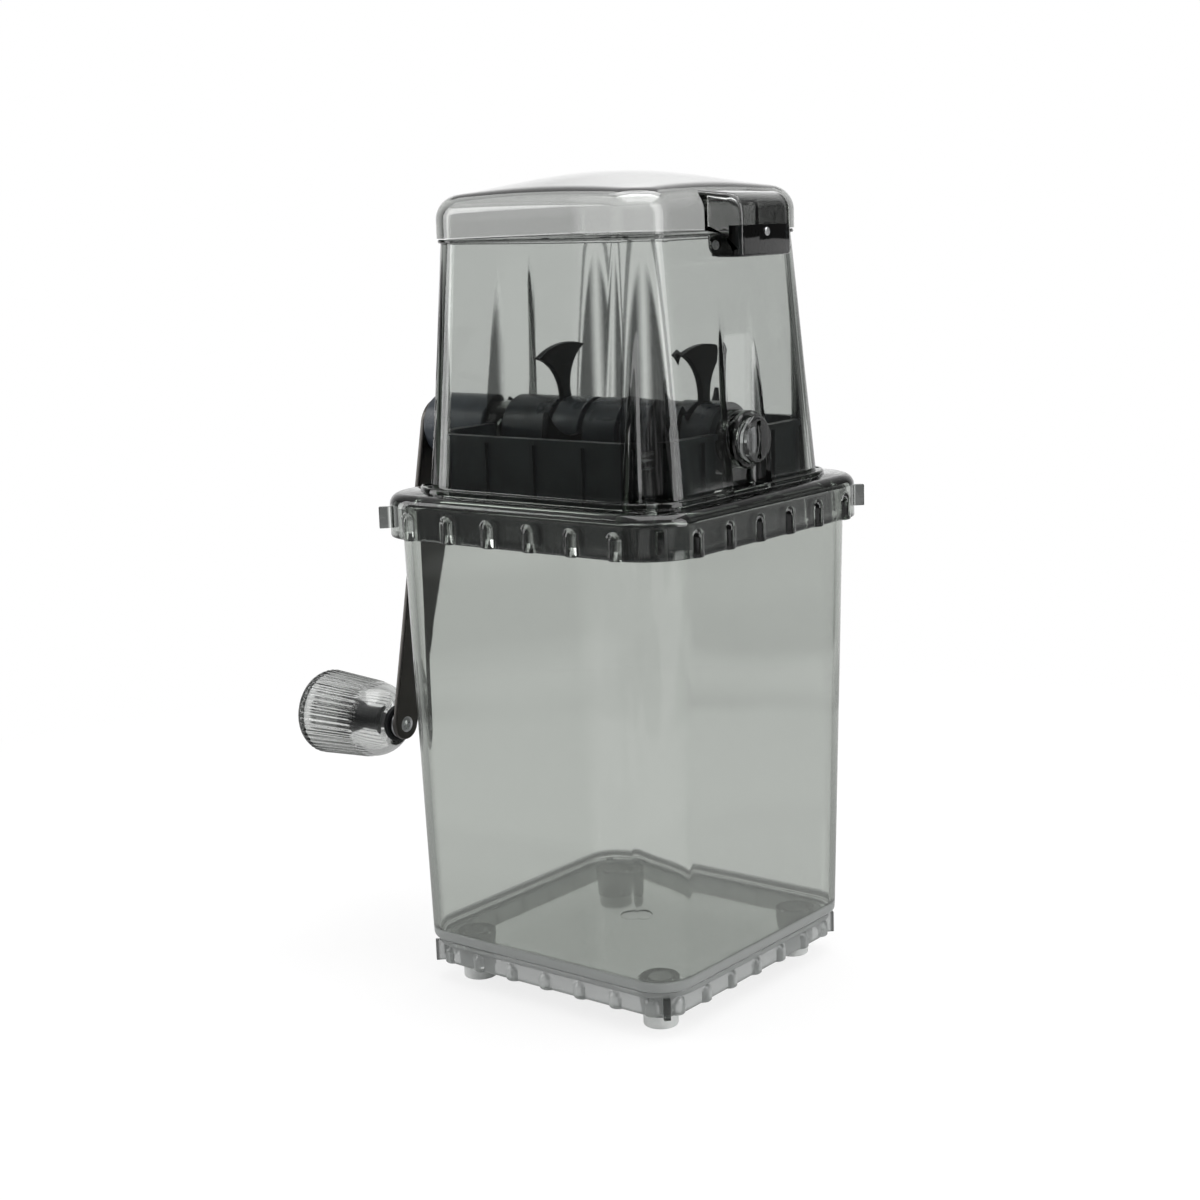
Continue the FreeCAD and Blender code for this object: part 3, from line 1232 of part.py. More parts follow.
def make_hinge_block():
    """Dark lining of the lower part of the bulge, which moves with the lid: a front plate
    behind the bulge's face and a side plate inside each cheek, bored for the pin."""
    body = new_body("hinge_block")
    side = new_sketch(body, "BlockSide", "XZ_Plane")
    face = "(bulge_face - bulge_wall)"
    width = "2 * (bulge_half - bulge_wall)"
    cheek = "cheek_radius"
    low = f"(pin_height - {cheek})"
    draw_outline(side, [
        (f"pin_centre - {cheek}", "pin_height", f"({cheek} * (1 - 1 / sqrt(2)))"),
        ("pin_centre", low),
        (face, low),
        (face, "block_top"),
        (f"{face} - block_depth", "block_top"),
        (f"{face} - block_depth", "liner_top"),
        (f"pin_centre - {cheek}", "liner_top")])
    pad(body, side, width, middle=True)
    room = new_sketch(body, "BlockRoom", "XZ_Plane")
    inmost = f"pin_centre - {cheek} - overrun"
    draw_outline(room, rectangle(inmost, f"{face} - block_depth", f"{low} - overrun", "block_top"))
    cut_both_ways(body, room, f"{width} - 2 * liner_wall")
    pin = new_sketch(body, "BlockPinBore", "XZ_Plane")
    draw_circle(pin, "pin_radius + shaft_gap", "pin_centre", "pin_height")
    cut_both_ways(body, pin, width)
    bore = new_sketch(body, "BlockBore", "YZ_Plane", f"{face} - block_depth")
    draw_circle(bore, "block_screw_radius", "0", "block_screw_height")
    pocket(body, bore, "block_depth", up=True)
    keep(body)


def make_block_screw():
    """Small screw through the bulge's face into the hinge block."""
    body = new_body("hinge_block_screw")
    outline = new_sketch(body, "BlockScrewOutline", "XZ_Plane", "0", "block_screw_height")
    head = "bulge_face + block_screw_cap"
    end = "bulge_face - bulge_wall - block_depth"
    draw_outline(outline, [
        (end, "0"),
        (head, "0"),
        (head, "block_screw_head - block_screw_edge"),
        (f"{head} - block_screw_edge", "block_screw_head"),
        ("bulge_face", "block_screw_head"),
        ("bulge_face", "block_screw_radius"),
        (end, "block_screw_radius")])
    turned(body, outline)
    keep(body)


# ---------------------------------------------------------------- build
make_base_plate()
make_foot_pads()
make_jar()
hopper_outside = make_upper_housing()
make_bearing_plug()
make_crank_bush()
make_cassette()
make_combs()
make_housing_screws()
make_hinge_bracket(hopper_outside)
make_hinge_pin()
make_lid()
make_hinge_block()
make_block_screw()
make_shaft()
for number in range(BLADE_COUNT):
    make_blade(number)
make_spacers()
make_crank_hub()
make_crank_arm()
make_hub_nut()
make_spindle()
make_washer()
make_knob_shell()
make_knob_core()

doc.recompute()
for thing in doc.Objects:
    if any(word in thing.State for word in ("Invalid", "Error")):
        raise RuntimeError(f"{thing.Label} failed: {thing.State}")
for part in SUB_PARTS:
    if part.Shape.isNull() or not part.Shape.isValid() or not part.Shape.Solids:
        raise RuntimeError(f"{part.Label} has no valid solid")

os.makedirs("parts", exist_ok=True)
for part in SUB_PARTS:
    part.Shape.exportStep(os.path.join("parts", part.Label + ".step"))
    box = part.Shape.optimalBoundingBox()
    ends = [f"{end:.1f}" for end in (box.XMin, box.XMax, box.YMin, box.YMax, box.ZMin, box.ZMax)]
    print(f"{part.Label}: {len(part.Shape.Solids)} solid(s), {part.Shape.Volume:.0f} mm3, box {' '.join(ends)}")
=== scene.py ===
# %% [markdown]
# # A hand cranked ice crusher in smoke clear plastic
#
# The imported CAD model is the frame: every Blender piece takes its place from it and rides on one of
# its bodies, so that the crank still turns and the lid still opens. Forms are worked out in
# millimetres, as a moulder's drawing gives them, and become metres when their mesh is made.

# %% Load the frame
import json
import math

import bmesh
import bpy
import numpy as np
from mathutils import Matrix, Vector

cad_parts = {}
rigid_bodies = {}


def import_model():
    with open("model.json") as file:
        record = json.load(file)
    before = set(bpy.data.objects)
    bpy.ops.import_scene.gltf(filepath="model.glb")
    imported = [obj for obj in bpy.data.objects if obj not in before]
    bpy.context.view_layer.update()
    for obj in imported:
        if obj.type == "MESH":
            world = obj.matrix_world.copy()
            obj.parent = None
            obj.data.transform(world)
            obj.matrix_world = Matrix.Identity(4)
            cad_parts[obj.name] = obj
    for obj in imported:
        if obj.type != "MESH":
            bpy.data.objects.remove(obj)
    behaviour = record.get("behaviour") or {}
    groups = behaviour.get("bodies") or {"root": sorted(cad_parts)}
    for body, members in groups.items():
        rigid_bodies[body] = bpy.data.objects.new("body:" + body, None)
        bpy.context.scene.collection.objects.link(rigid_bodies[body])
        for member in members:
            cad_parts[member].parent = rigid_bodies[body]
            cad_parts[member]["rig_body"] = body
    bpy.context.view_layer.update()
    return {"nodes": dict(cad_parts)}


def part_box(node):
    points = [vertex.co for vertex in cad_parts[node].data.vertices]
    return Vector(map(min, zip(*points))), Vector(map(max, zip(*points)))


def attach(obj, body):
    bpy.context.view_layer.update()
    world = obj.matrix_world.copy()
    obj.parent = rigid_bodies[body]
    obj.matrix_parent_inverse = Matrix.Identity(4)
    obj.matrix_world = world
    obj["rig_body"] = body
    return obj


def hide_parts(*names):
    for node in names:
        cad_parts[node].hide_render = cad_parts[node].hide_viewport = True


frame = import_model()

MM = 0.001

# %% [markdown]
# ## Sizes
#
# Where a size can be read from a CAD node's box, it is. The rest are the moulding's own sizes, which
# no box shows: corner radii, the wall, the taper of the hopper and the places of its flutes. The jar
# stands a few hundredths above the base plate, because two faces in one place flicker in a render.

# %% Sizes
def box_mm(node):
    """Lowest and highest corner of a CAD node, in millimetres."""
    low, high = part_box(node)
    return np.array(low) / MM, np.array(high) / MM


jar_low, jar_high = box_mm("container_tub")
head_low, head_high = box_mm("upper_housing")
lid_high = box_mm("lid_shell")[1]
base_high = box_mm("base_plate")[1]
knob_low, knob_high = box_mm("knob_shell")
hub_low, hub_high = box_mm("crank_hub")

WALL = 2.3
JAR_BOTTOM_HALF = 51.4
JAR_CORNER = 12.0
JAR_TOP = jar_high[2]
JAR_TOP_HALF = jar_high[0]
FLOOR = jar_low[2] + 0.03
COLLAR_HALF = 58.3
COLLAR_CORNER = 17.0
COLLAR_WALL = 2.5
COLLAR_BOTTOM = head_low[2]
COLLAR_TOP = 163.5
COLLAR_UNDER = 160.5
COLLAR_ROUND = 3.8
HOPPER_TOP = head_high[2]
HOPPER_TOP_HALF = 42.7
HOPPER_FOOT_HALF = 50.3
HOPPER_CORNER = 12.0
STEP_HEIGHT = 1.8
STEP_WIDTH = 1.0
STEP_CORNER = 17.5
FLUTE_HALF = 10.0
FLUTE_ROUND = 4.0
WELL_CENTRE = 44.5
WELL_RADIUS = 6.3
SCREW_CENTRE = 43.6
BASE_TOP = base_high[2]
BASE_HALF = 50.3
BASE_CORNER = 13.0
SKIRT_INSET = 1.9
SKIRT_WALL = 2.0
POST_CENTRE = 37.45
LID_HALF = 43.9
LID_CORNER = 13.0
LID_BOTTOM = HOPPER_TOP + 0.3
LID_EDGE = 255.0
LID_RISE = lid_high[2] - LID_EDGE
LID_ROUND = 7.0
PIN_CENTRE = 47.6
PIN_HEIGHT = 238.5
SHAFT_HEIGHT = (hub_low[2] + hub_high[2]) / 2
CORNERS = ((1, 1), (1, -1), (-1, 1), (-1, -1))
print("shaft at", SHAFT_HEIGHT, "mm, jar rim at", JAR_TOP, "mm")

# %% [markdown]
# ## Grids that become meshes
#
# Nearly all the clear pieces are a profile carried round a square with round corners. A grid has one
# row for each profile point and one column for each place round the square, so its faces follow from
# the row and column numbers. A closed profile gives a ring, and one that starts and ends on the
# middle axis gets a point at each pole, so that no hole is left.

# %% Mesh helpers
def grid_faces(rows, columns, loop_rows):
    """Face k of row i joins columns j and j + 1 of rows i and i + 1; columns always close."""
    last = rows if loop_rows else rows - 1
    i, j = np.meshgrid(np.arange(last), np.arange(columns), indexing="ij")
    here, above = i * columns, ((i + 1) % rows) * columns
    beside = (j + 1) % columns
    quads = np.stack([here + j, here + beside, above + beside, above + j], axis=-1)
    return quads.reshape(-1, 4).tolist()


def grid_mesh(name, grid, poles=None):
    """Mesh of a grid (rows, columns, 3) in millimetres. Poles are its two end points."""
    rows, columns = grid.shape[:2]
    points = grid.reshape(-1, 3)
    faces = grid_faces(rows, columns, loop_rows=poles is None)
    if poles is not None:
        first, last = rows * columns, rows * columns + 1
        points = np.vstack([points, np.array(poles)])
        j = np.arange(columns)
        beside = (j + 1) % columns
        top = (rows - 1) * columns
        faces += np.stack([beside, j, np.full(columns, first)], axis=-1).tolist()
        faces += np.stack([top + j, top + beside, np.full(columns, last)], axis=-1).tolist()
    mesh = bpy.data.meshes.new(name)
    mesh.from_pydata((points * MM).tolist(), [], faces)
    return mesh


def add_object(name, data):
    thing = bpy.data.objects.new(name, data)
    bpy.context.scene.collection.objects.link(thing)
    return thing


def modify(thing, kind, **settings):
    """Run one modifier over a piece and keep the mesh that it makes."""
    step = thing.modifiers.new(kind, kind)
    for name, value in settings.items():
        setattr(step, name, value)
    bpy.context.view_layer.update()
    graph = bpy.context.evaluated_depsgraph_get()
    mesh = bpy.data.meshes.new_from_object(thing.evaluated_get(graph))
    thing.modifiers.clear()
    thing.data = mesh


def carve(thing, tool_mesh, operation="DIFFERENCE"):
    """Join a closed mesh to a piece (UNION) or cut it out (DIFFERENCE)."""
    tool = add_object("tool", tool_mesh)
    modify(thing, "BOOLEAN", operation=operation, solver="MANIFOLD", object=tool)
    bpy.data.objects.remove(tool)


def finish_piece(thing, node, material, sharp_degrees=35.0):
    """Shade a piece smoothly but for its sharp edges, give it its material, and let it stand for its
    CAD node: it rides on the node's body, and the node is hidden."""
    mesh = thing.data
    mesh.polygons.foreach_set("use_smooth", np.ones(len(mesh.polygons), dtype=bool))
    mesh.set_sharp_from_angle(angle=math.radians(sharp_degrees))
    mesh.update()
    mesh.materials.clear()
    mesh.materials.append(material)
    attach(thing, frame["nodes"][node]["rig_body"])
    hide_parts(node)
    return thing


# %% [markdown]
# ## The square with round corners
#
# Each quarter has a fixed number of columns on its straight side and on its round corner. Rows with
# different widths and corner radii then still line up column by column, and a ridge that sits at one
# place of the skirt meets the same columns in every row.

# %% Walk round a rounded square
def walk(side_columns, corner_columns):
    """Columns of one turn: quarter number, on the side or not, and how far along it (0 to 1)."""
    side = np.arange(side_columns + corner_columns) < side_columns
    part = np.concatenate([np.arange(count) / count for count in (side_columns, corner_columns)])
    quarter = np.repeat(np.arange(4), len(side))
    return quarter, np.tile(side, 4), np.tile(part, 4)


def square_rows(track, half, corner):
    """Place of every column for each row's half width and corner radius. On a side the place runs
    straight along the edge, on a corner it turns about the corner's centre, and each quarter is the
    first one turned by 90 degrees."""
    quarter, side, part = track
    half = np.reshape(half, (-1, 1)).astype(float)
    corner = np.reshape(corner, (-1, 1)).astype(float)
    straight = half - corner
    turn = part * np.pi / 2
    out = np.where(side, half, straight + corner * np.cos(turn))
    along = np.where(side, straight * (2 * part - 1), straight + corner * np.sin(turn))
    angle = quarter * np.pi / 2
    x = out * np.cos(angle) - along * np.sin(angle)
    y = out * np.sin(angle) + along * np.cos(angle)
    return x, y


def close_ends(x, y, low, high):
    """Add rows that are the first row shrunk by shares of its size, and the last one likewise."""
    low, high = np.reshape(low, (-1, 1)), np.reshape(high, (-1, 1))
    return [np.vstack([low * part[0], part, high * part[-1]]) for part in (x, y)]


def outward(track):
    """Unit normal of the square at every column."""
    quarter, side, part = track
    angle = quarter * np.pi / 2 + np.where(side, 0.0, part * np.pi / 2)
    return np.cos(angle), np.sin(angle)


def stack(x, y, z):
    """Grid of points from rows of x and y and one height per row, or a height for every point."""
    z = np.broadcast_to(np.reshape(z, (len(x), -1)), x.shape)
    return np.stack([x, y, z], axis=-1)


def arc(start, end, centre, count):
    """Points on the circle about a centre from start to end, both included, the short way."""
    start, end, centre = (np.array(p, float) for p in (start, end, centre))
    first = math.atan2(*(start - centre)[::-1])
    last = math.atan2(*(end - centre)[::-1])
    sweep = (last - first + math.pi) % (2 * math.pi) - math.pi
    angle = first + sweep * np.linspace(0, 1, count)
    radius = np.linalg.norm(start - centre)
    return centre + radius * np.stack([np.cos(angle), np.sin(angle)], axis=-1)


def quarter_arc(start, end, count, upright=True):
    """Quarter circle that leaves its start upright, or else level."""
    return arc(start, end, (end[0], start[1]) if upright else (start[0], end[1]), count)


# %% [markdown]
# ## The jar
#
# The jar is one closed profile carried round the square: from the middle of the floor outwards, round
# the lower edge, up the outside, over the rim and down the inside to the middle again. Its taper is
# an even offset, so the corner radius grows with the width. A real wall has two faces, and the smoke
# tint comes from the plastic between them, so the wall has its true thickness here.

# %% Jar
def make_jar(material):
    """Profile rows are (offset from the floor's outline, height). Each row of the floor keeps a share
    of the width, which falls to nothing towards the middle."""
    grow = JAR_TOP_HALF - JAR_BOTTOM_HALF
    rise = JAR_TOP - FLOOR
    edge, lip, inner_edge = 1.6, 0.8, 1.3

    def wall_offset(height):
        return grow * (height - FLOOR) / rise

    low = FLOOR + WALL
    outside = np.vstack([
        quarter_arc((-edge, FLOOR), (0.1, FLOOR + edge), 7, upright=False),
        [(wall_offset(z), z) for z in np.linspace(FLOOR + 4, JAR_TOP - lip, 26)],
        quarter_arc((grow, JAR_TOP - lip), (grow - lip, JAR_TOP), 5),
        quarter_arc((grow - WALL + lip, JAR_TOP), (grow - WALL, JAR_TOP - lip), 5, upright=False)])
    inside = np.vstack([
        [(wall_offset(z) - WALL, z) for z in np.linspace(JAR_TOP - 4, low + inner_edge, 26)],
        quarter_arc((-WALL, low + inner_edge), (-WALL - inner_edge, low), 8)])
    profile = np.vstack([outside, inside])
    track = walk(26, 26)
    x, y = square_rows(track, JAR_BOTTOM_HALF + profile[:, 0], JAR_CORNER + profile[:, 0])
    share = [0.03, 0.3, 0.6, 0.85]
    x, y = close_ends(x, y, share, share[::-1])
    z = np.concatenate([np.full(4, FLOOR), profile[:, 1], np.full(4, low)])
    jar = add_object("jar", grid_mesh("jar", stack(x, y, z), poles=[(0, 0, FLOOR), (0, 0, low)]))
    gate_radius, gate_depth, tool_thickness = 4.6, 0.5, 3.0
    gate_middle = (0, 0, low - gate_depth + tool_thickness / 2)
    carve(jar, disc_mesh("gate", gate_middle, (0, 0, 1), gate_radius, tool_thickness))
    return finish_piece(jar, "container_tub", material)


# %% [markdown]
# ## Round tools
#
# Bosses, bores and pins are turned forms. One function carries a profile of (along, radius) pairs
# round any axis and closes both ends with a point on it.

# %% Turned forms
def unit(vector):
    return vector / np.linalg.norm(vector)


def axis_frame(direction):
    """Two unit vectors across a direction, so that the three make a right-handed set."""
    direction = unit(np.array(direction, float))
    helper = np.array([0, 0, 1.0]) if abs(direction[2]) < 0.9 else np.array([1.0, 0, 0])
    across = unit(np.cross(helper, direction))
    return direction, across, np.cross(direction, across)


def turned_mesh(name, profile, centre, direction, columns=64, swell=0.0):
    """Closed mesh whose rows (along, radius) are circles about the axis, and whose ends are poles on
    it. Swell adds to the radius of every point and is a grid of (rows, columns)."""
    axis, across, up = axis_frame(direction)
    profile, centre = np.array(profile, float), np.array(centre, float)
    turn = np.linspace(0, 2 * np.pi, columns, endpoint=False)
    radius = profile[:, 1:2] + swell
    ring = np.cos(turn)[None, :, None] * across + np.sin(turn)[None, :, None] * up
    grid = centre + profile[:, 0][:, None, None] * axis + radius[..., None] * ring
    return grid_mesh(name, grid, [centre + profile[0][0] * axis, centre + profile[-1][0] * axis])


def disc_mesh(name, centre, direction, radius, thickness, columns=64):
    """Plain round tool, half its thickness to each side of the centre."""
    half = thickness / 2
    return turned_mesh(name, [(-half, radius), (half, radius)], centre, direction, columns)


# %% [markdown]
# ## Collar and hopper
#
# Both are one moulding. Its section runs down the inside of the hopper, out under the collar, down
# and up the skirt that laps over the jar, over the collar's round edge, across the step, up the
# outside of the hopper and over the bead at its mouth. The skirt's ridges are half round bars with a
# ball end, whose height adds to the offset. The flutes are cut into the hopper as upright grooves:
# since the wall leans in and the groove doesn't, each one runs out in an arch by itself.

# %% Ridges
def add_ridges(x, y, z, skirt, track, half, corner, count, pitch, ball, angles=()):
    """Move the skirt's rows out by sqrt(r^2 - d^2 - dz^2), the surface of a bar with a ball end, less
    what is sunk in the wall. The distance d runs along the outline, so a ridge may sit where a side
    turns into a corner. Ball is the height of the round end, angles are ridges on the corners."""
    proud, radius = 1.4, 2.6
    quarters, side, part = track
    straight = half - corner
    turn = straight + corner * np.pi / 2 + straight
    run = np.where(side, straight * (2 * part - 1), straight + corner * part * np.pi / 2)
    places = pitch * (np.arange(count) - (count - 1) / 2)
    places = np.concatenate([places, straight + corner * np.radians(angles)])
    places = np.concatenate([places - turn, places, places + turn])
    distance = np.abs(run[:, None] - places).min(axis=1)
    above = np.maximum(np.reshape(z[skirt], (-1, 1)) - ball, 0.0)
    bar = np.sqrt(np.maximum(radius ** 2 - distance ** 2 - above ** 2, 0.0))
    high = np.maximum(bar - (radius - proud), 0.0)
    nx, ny = outward(track)
    x[skirt] += high * nx
    y[skirt] += high * ny


# %% Flutes
def soft_min(a, b, blend):
    """The smaller of two values, rounded over where they are within blend of each other."""
    return np.minimum(a, b) - np.maximum(blend - np.abs(a - b), 0.0) ** 2 / (4 * blend)


def hopper_half(z):
    """Half width of the hopper outside at a height: a straight line from foot to mouth."""
    slope = (HOPPER_FOOT_HALF - HOPPER_TOP_HALF) / (HOPPER_TOP - COLLAR_TOP)
    return HOPPER_TOP_HALF + (HOPPER_TOP - z) * slope


def groove(beyond, half, round_radius, floor):
    """Floor of a flute against the distance from its middle: flat, then a quarter circle up, then
    nothing left to cut."""
    rest = np.clip(np.abs(beyond) - (half - round_radius), 0.0, round_radius)
    lift = round_radius - np.sqrt(round_radius ** 2 - rest ** 2)
    return np.where(np.abs(beyond) < half, floor + lift, np.inf)


def cut_flutes(x, y, inset):
    """Move points of the hopper's section inwards to the flutes and corner wells. Inset grows the
    grooves by the wall, for the inner surface."""
    blend = 0.9
    for sign, runs_out in ((1, 215.0), (-1, 234.0)):
        floor = hopper_half(runs_out) - inset
        limit = groove(y, FLUTE_HALF + inset, FLUTE_ROUND + inset, floor)
        out = sign * x
        x = sign * np.where(out > 0, soft_min(out, np.minimum(limit, 99.0), blend), out)
    radius = WELL_RADIUS + inset
    root = math.sqrt(2)
    for sx, sy in CORNERS:
        out, beside = (sx * x + sy * y) / root, (sy * y - sx * x) / root
        depth = np.sqrt(np.maximum(radius ** 2 - beside ** 2, 0.0))
        limit = np.where(np.abs(beside) < radius, WELL_CENTRE * root - depth, 99.0)
        inner = np.where((sx * x > 0) & (sy * y > 0), soft_min(out, limit, blend), out)
        x, y = sx * (inner - beside) / root, sy * (inner + beside) / root
    return x, y


# %% Collar and hopper
def housing_rows():
    """Rows of the moulding as (half width, corner radius, height, inset of its flutes or None)."""
    def hopper(z, inset, extra=0.0):
        half = hopper_half(z) - inset + extra
        return half, HOPPER_CORNER + half - HOPPER_TOP_HALF

    def collar(points):
        return [(half, COLLAR_CORNER + half - COLLAR_HALF, z, None) for half, z in points]

    inner, lip = COLLAR_HALF - COLLAR_WALL, 0.5
    low = COLLAR_BOTTOM + lip
    rows = [(*hopper(z, WALL), z, WALL) for z in np.linspace(HOPPER_TOP - 0.6, COLLAR_UNDER, 42)]
    half, corner = hopper(COLLAR_UNDER, WALL)
    inner_corner = COLLAR_CORNER - COLLAR_WALL
    rows += [(half + (inner - half) * share, corner + (inner_corner - corner) * share,
              COLLAR_UNDER, None) for share in (0.15, 0.5, 0.85, 1.0)]
    rows += collar([(inner, z) for z in (158.5, 155.5, 152.5, low)])
    rows += collar(quarter_arc((inner, low), (inner + lip, COLLAR_BOTTOM), 3)[1:])
    rows += collar(quarter_arc((COLLAR_HALF - lip, COLLAR_BOTTOM), (COLLAR_HALF, low), 3,
                               upright=False))
    side = np.linspace(COLLAR_BOTTOM + 1.4, COLLAR_TOP - COLLAR_ROUND - 0.3, 22)
    rows += collar([(COLLAR_HALF, z) for z in side])
    rows += collar(quarter_arc((COLLAR_HALF, COLLAR_TOP - COLLAR_ROUND),
                           (COLLAR_HALF - COLLAR_ROUND, COLLAR_TOP), 10))
    ring, brow = HOPPER_FOOT_HALF + STEP_WIDTH, 0.7
    foot = COLLAR_TOP + STEP_HEIGHT
    rows += [(ring + 0.5, STEP_CORNER + 0.5, COLLAR_TOP, None),
             (ring + 0.08, STEP_CORNER, COLLAR_TOP + 0.2, None)]
    rows += [(half, STEP_CORNER + half - ring, z, None)
             for half, z in quarter_arc((ring, foot - brow), (ring - brow, foot), 5)]
    rows += [(*hopper(foot, 0, 0.2), foot, 0.0), (*hopper(foot + 0.3, 0), foot + 0.3, 0.0)]
    rows += [(*hopper(z, 0), z, 0.0) for z in np.linspace(foot + 1.2, HOPPER_TOP - 1.6, 44)]
    bead = ((0.15, 1.25), (0.75, 1.15), (1.0, 0.85), (1.0, 0.35), (0.7, 0.0), (0.6 - WALL, 0.0))
    return rows + [(HOPPER_TOP_HALF + out, HOPPER_CORNER + out, HOPPER_TOP - down, None)
                   for out, down in bead]


def make_housing(material):
    """Carry the rows round the square, cut the flutes, add the ridges along the skirt's normal, then
    join the bearing bosses and the lugs, and bore the bosses and the screws' stepped seats."""
    boss_middle, boss_half, boss_radius, bore_radius = 45.15, 4.25, 9.0, 6.45
    lug_low, lug_high = 152.2, 159.1
    screw_hole, screw_seat = 1.65, 2.6
    rows = housing_rows()
    track = walk(130, 40)
    half, corner, z = (np.array([row[k] for row in rows], float) for k in range(3))
    x, y = square_rows(track, half, corner)
    for inset in (0.0, WALL):
        mine = np.array([row[3] == inset for row in rows])
        x[mine], y[mine] = cut_flutes(x[mine], y[mine], inset)
    skirt = (np.abs(half - COLLAR_HALF) < 0.6) & (z < COLLAR_TOP - COLLAR_ROUND)
    add_ridges(x, y, z, skirt, track, COLLAR_HALF, COLLAR_CORNER, count=6, pitch=16.3, ball=155.9)
    housing = add_object("hopper", grid_mesh("hopper", stack(x, y, z)))
    boss = [(-boss_half, boss_radius - 0.4), (0.4 - boss_half, boss_radius),
            (boss_half - 0.5, boss_radius), (boss_half, boss_radius - 0.5)]
    seat = [(-4.0, screw_hole), (0.0, screw_hole), (0.05, screw_seat), (8.0, screw_seat)]
    for side in (1, -1):
        centre = (side * boss_middle, 0, SHAFT_HEIGHT)
        carve(housing, turned_mesh("boss", boss, centre, (side, 0, 0)), "UNION")
        carve(housing, disc_mesh("bore", centre, (side, 0, 0), bore_radius, 16))
        for other in (1, -1):
            lug = lug_mesh(side, other, COLLAR_HALF, COLLAR_CORNER, lug_low, lug_high)
            carve(housing, lug, "UNION")
            place = (side * SCREW_CENTRE, other * SCREW_CENTRE, COLLAR_TOP)
            carve(housing, turned_mesh("seat", seat, place, (0, 0, 1), 40))
    return finish_piece(housing, "upper_housing", material)


def lug_mesh(sx, sy, half, corner, low, high, proud=3.6, thick=2.2, root=1.2):
    """Upright block on the square's diagonal. It starts at its root inside the wall and stands proud
    of the round corner."""
    reach = (half - corner) * math.sqrt(2) + corner
    mesh = bpy.data.meshes.new("lug")
    bm = bmesh.new()
    bmesh.ops.create_cube(bm, size=1)
    size = Vector((proud + root, thick, high - low)) * MM
    middle = Vector((reach + (proud - root) / 2, 0, (low + high) / 2)) * MM
    turn = Matrix.Rotation(math.atan2(sy, sx), 4, "Z")
    place = turn @ Matrix.Translation(middle) @ Matrix.Diagonal((*size, 1))
    bmesh.ops.transform(bm, matrix=place, verts=bm.verts)
    bmesh.ops.bevel(bm, geom=bm.edges[:], offset=0.25 * MM, segments=2, affect="EDGES", profile=0.5)
    bm.to_mesh(mesh)
    bm.free()
    return mesh


# %% [markdown]
# ## The base plate
#
# A flange under the jar, a ridged skirt below its edge, and four hollow posts that end in the rubber
# feet. The profile starts in the middle underneath, runs out and down the inside of the skirt, up its
# ridged outside and over the flange. Posts and lugs are joined to it, and then the posts are bored.

# %% Base plate
def make_base(material):
    """Rows of (half width, corner radius, height) from the middle below to the middle above."""
    post_foot, post_depth, foot_radius, post_radius, bore_radius = 4.0, 9.6, 5.9, 6.42, 3.85
    lug_low, lug_high = 6.4, 13.4
    under, bottom = BASE_TOP - 1.8, 6.6
    half, corner = BASE_HALF - SKIRT_INSET, BASE_CORNER - SKIRT_INSET
    inner, inner_corner = half - SKIRT_WALL, corner - SKIRT_WALL
    rows = [(inner - 0.8, inner_corner - 0.8, under), (inner, inner_corner, under - 0.8)]
    rows += [(inner, inner_corner, z) for z in (11.0, 9.0, bottom + 0.4)]
    rows += [(inner + 0.4, inner_corner + 0.4, bottom), (half - 0.4, corner - 0.4, bottom)]
    rows += [(half, corner, z) for z in np.linspace(bottom + 0.4, under - 0.3, 14)]
    rows += [(half + 0.3, corner + 0.3, under)]
    edge = 0.5
    rows += [(BASE_HALF - 0.2, BASE_CORNER - 0.2, under), (BASE_HALF, BASE_CORNER, under + 0.2)]
    rows += [(at, BASE_CORNER + at - BASE_HALF, z) for at, z in
             quarter_arc((BASE_HALF, BASE_TOP - edge), (BASE_HALF - edge, BASE_TOP), 5)]
    track = walk(110, 44)
    halves, corners, z = np.array(rows, float).T
    x, y = square_rows(track, halves, corners)
    skirt = (np.abs(halves - half) < 0.45) & (z < under - 0.2)
    add_ridges(x, y, z, skirt, track, half, corner, count=5, pitch=14.0, ball=10.0,
               angles=(22.5, 67.5))
    share = [0.03, 0.4, 0.8]
    x, y = close_ends(x, y, share, share[::-1])
    z = np.concatenate([np.full(3, under), z, np.full(3, BASE_TOP)])
    poles = [(0, 0, under), (0, 0, BASE_TOP)]
    base = add_object("base", grid_mesh("base", stack(x, y, z), poles))
    post = [(0.0, foot_radius - 0.2), (0.2, foot_radius), (post_depth, post_radius)]
    bore = [(-1, bore_radius), (post_depth - 1, bore_radius)]
    for sx, sy in CORNERS:
        carve(base, lug_mesh(sx, sy, half, corner, lug_low, lug_high), "UNION")
        foot = (sx * POST_CENTRE, sy * POST_CENTRE, post_foot)
        carve(base, turned_mesh("post", post, foot, (0, 0, 1), 56), "UNION")
        carve(base, turned_mesh("bore", bore, foot, (0, 0, 1), 56))
    return finish_piece(base, "base_plate", material)


# %% [markdown]
# ## The lid
#
# The lid is a pillow: level along its four edges and swelling to the middle as (1 - x^2)(1 - y^2),
# with a large round edge down to an upright wall. Over the hinge sits a hollow bulge, whose side view
# is carried along Y and drawn in towards both ends, so that its edges are round.

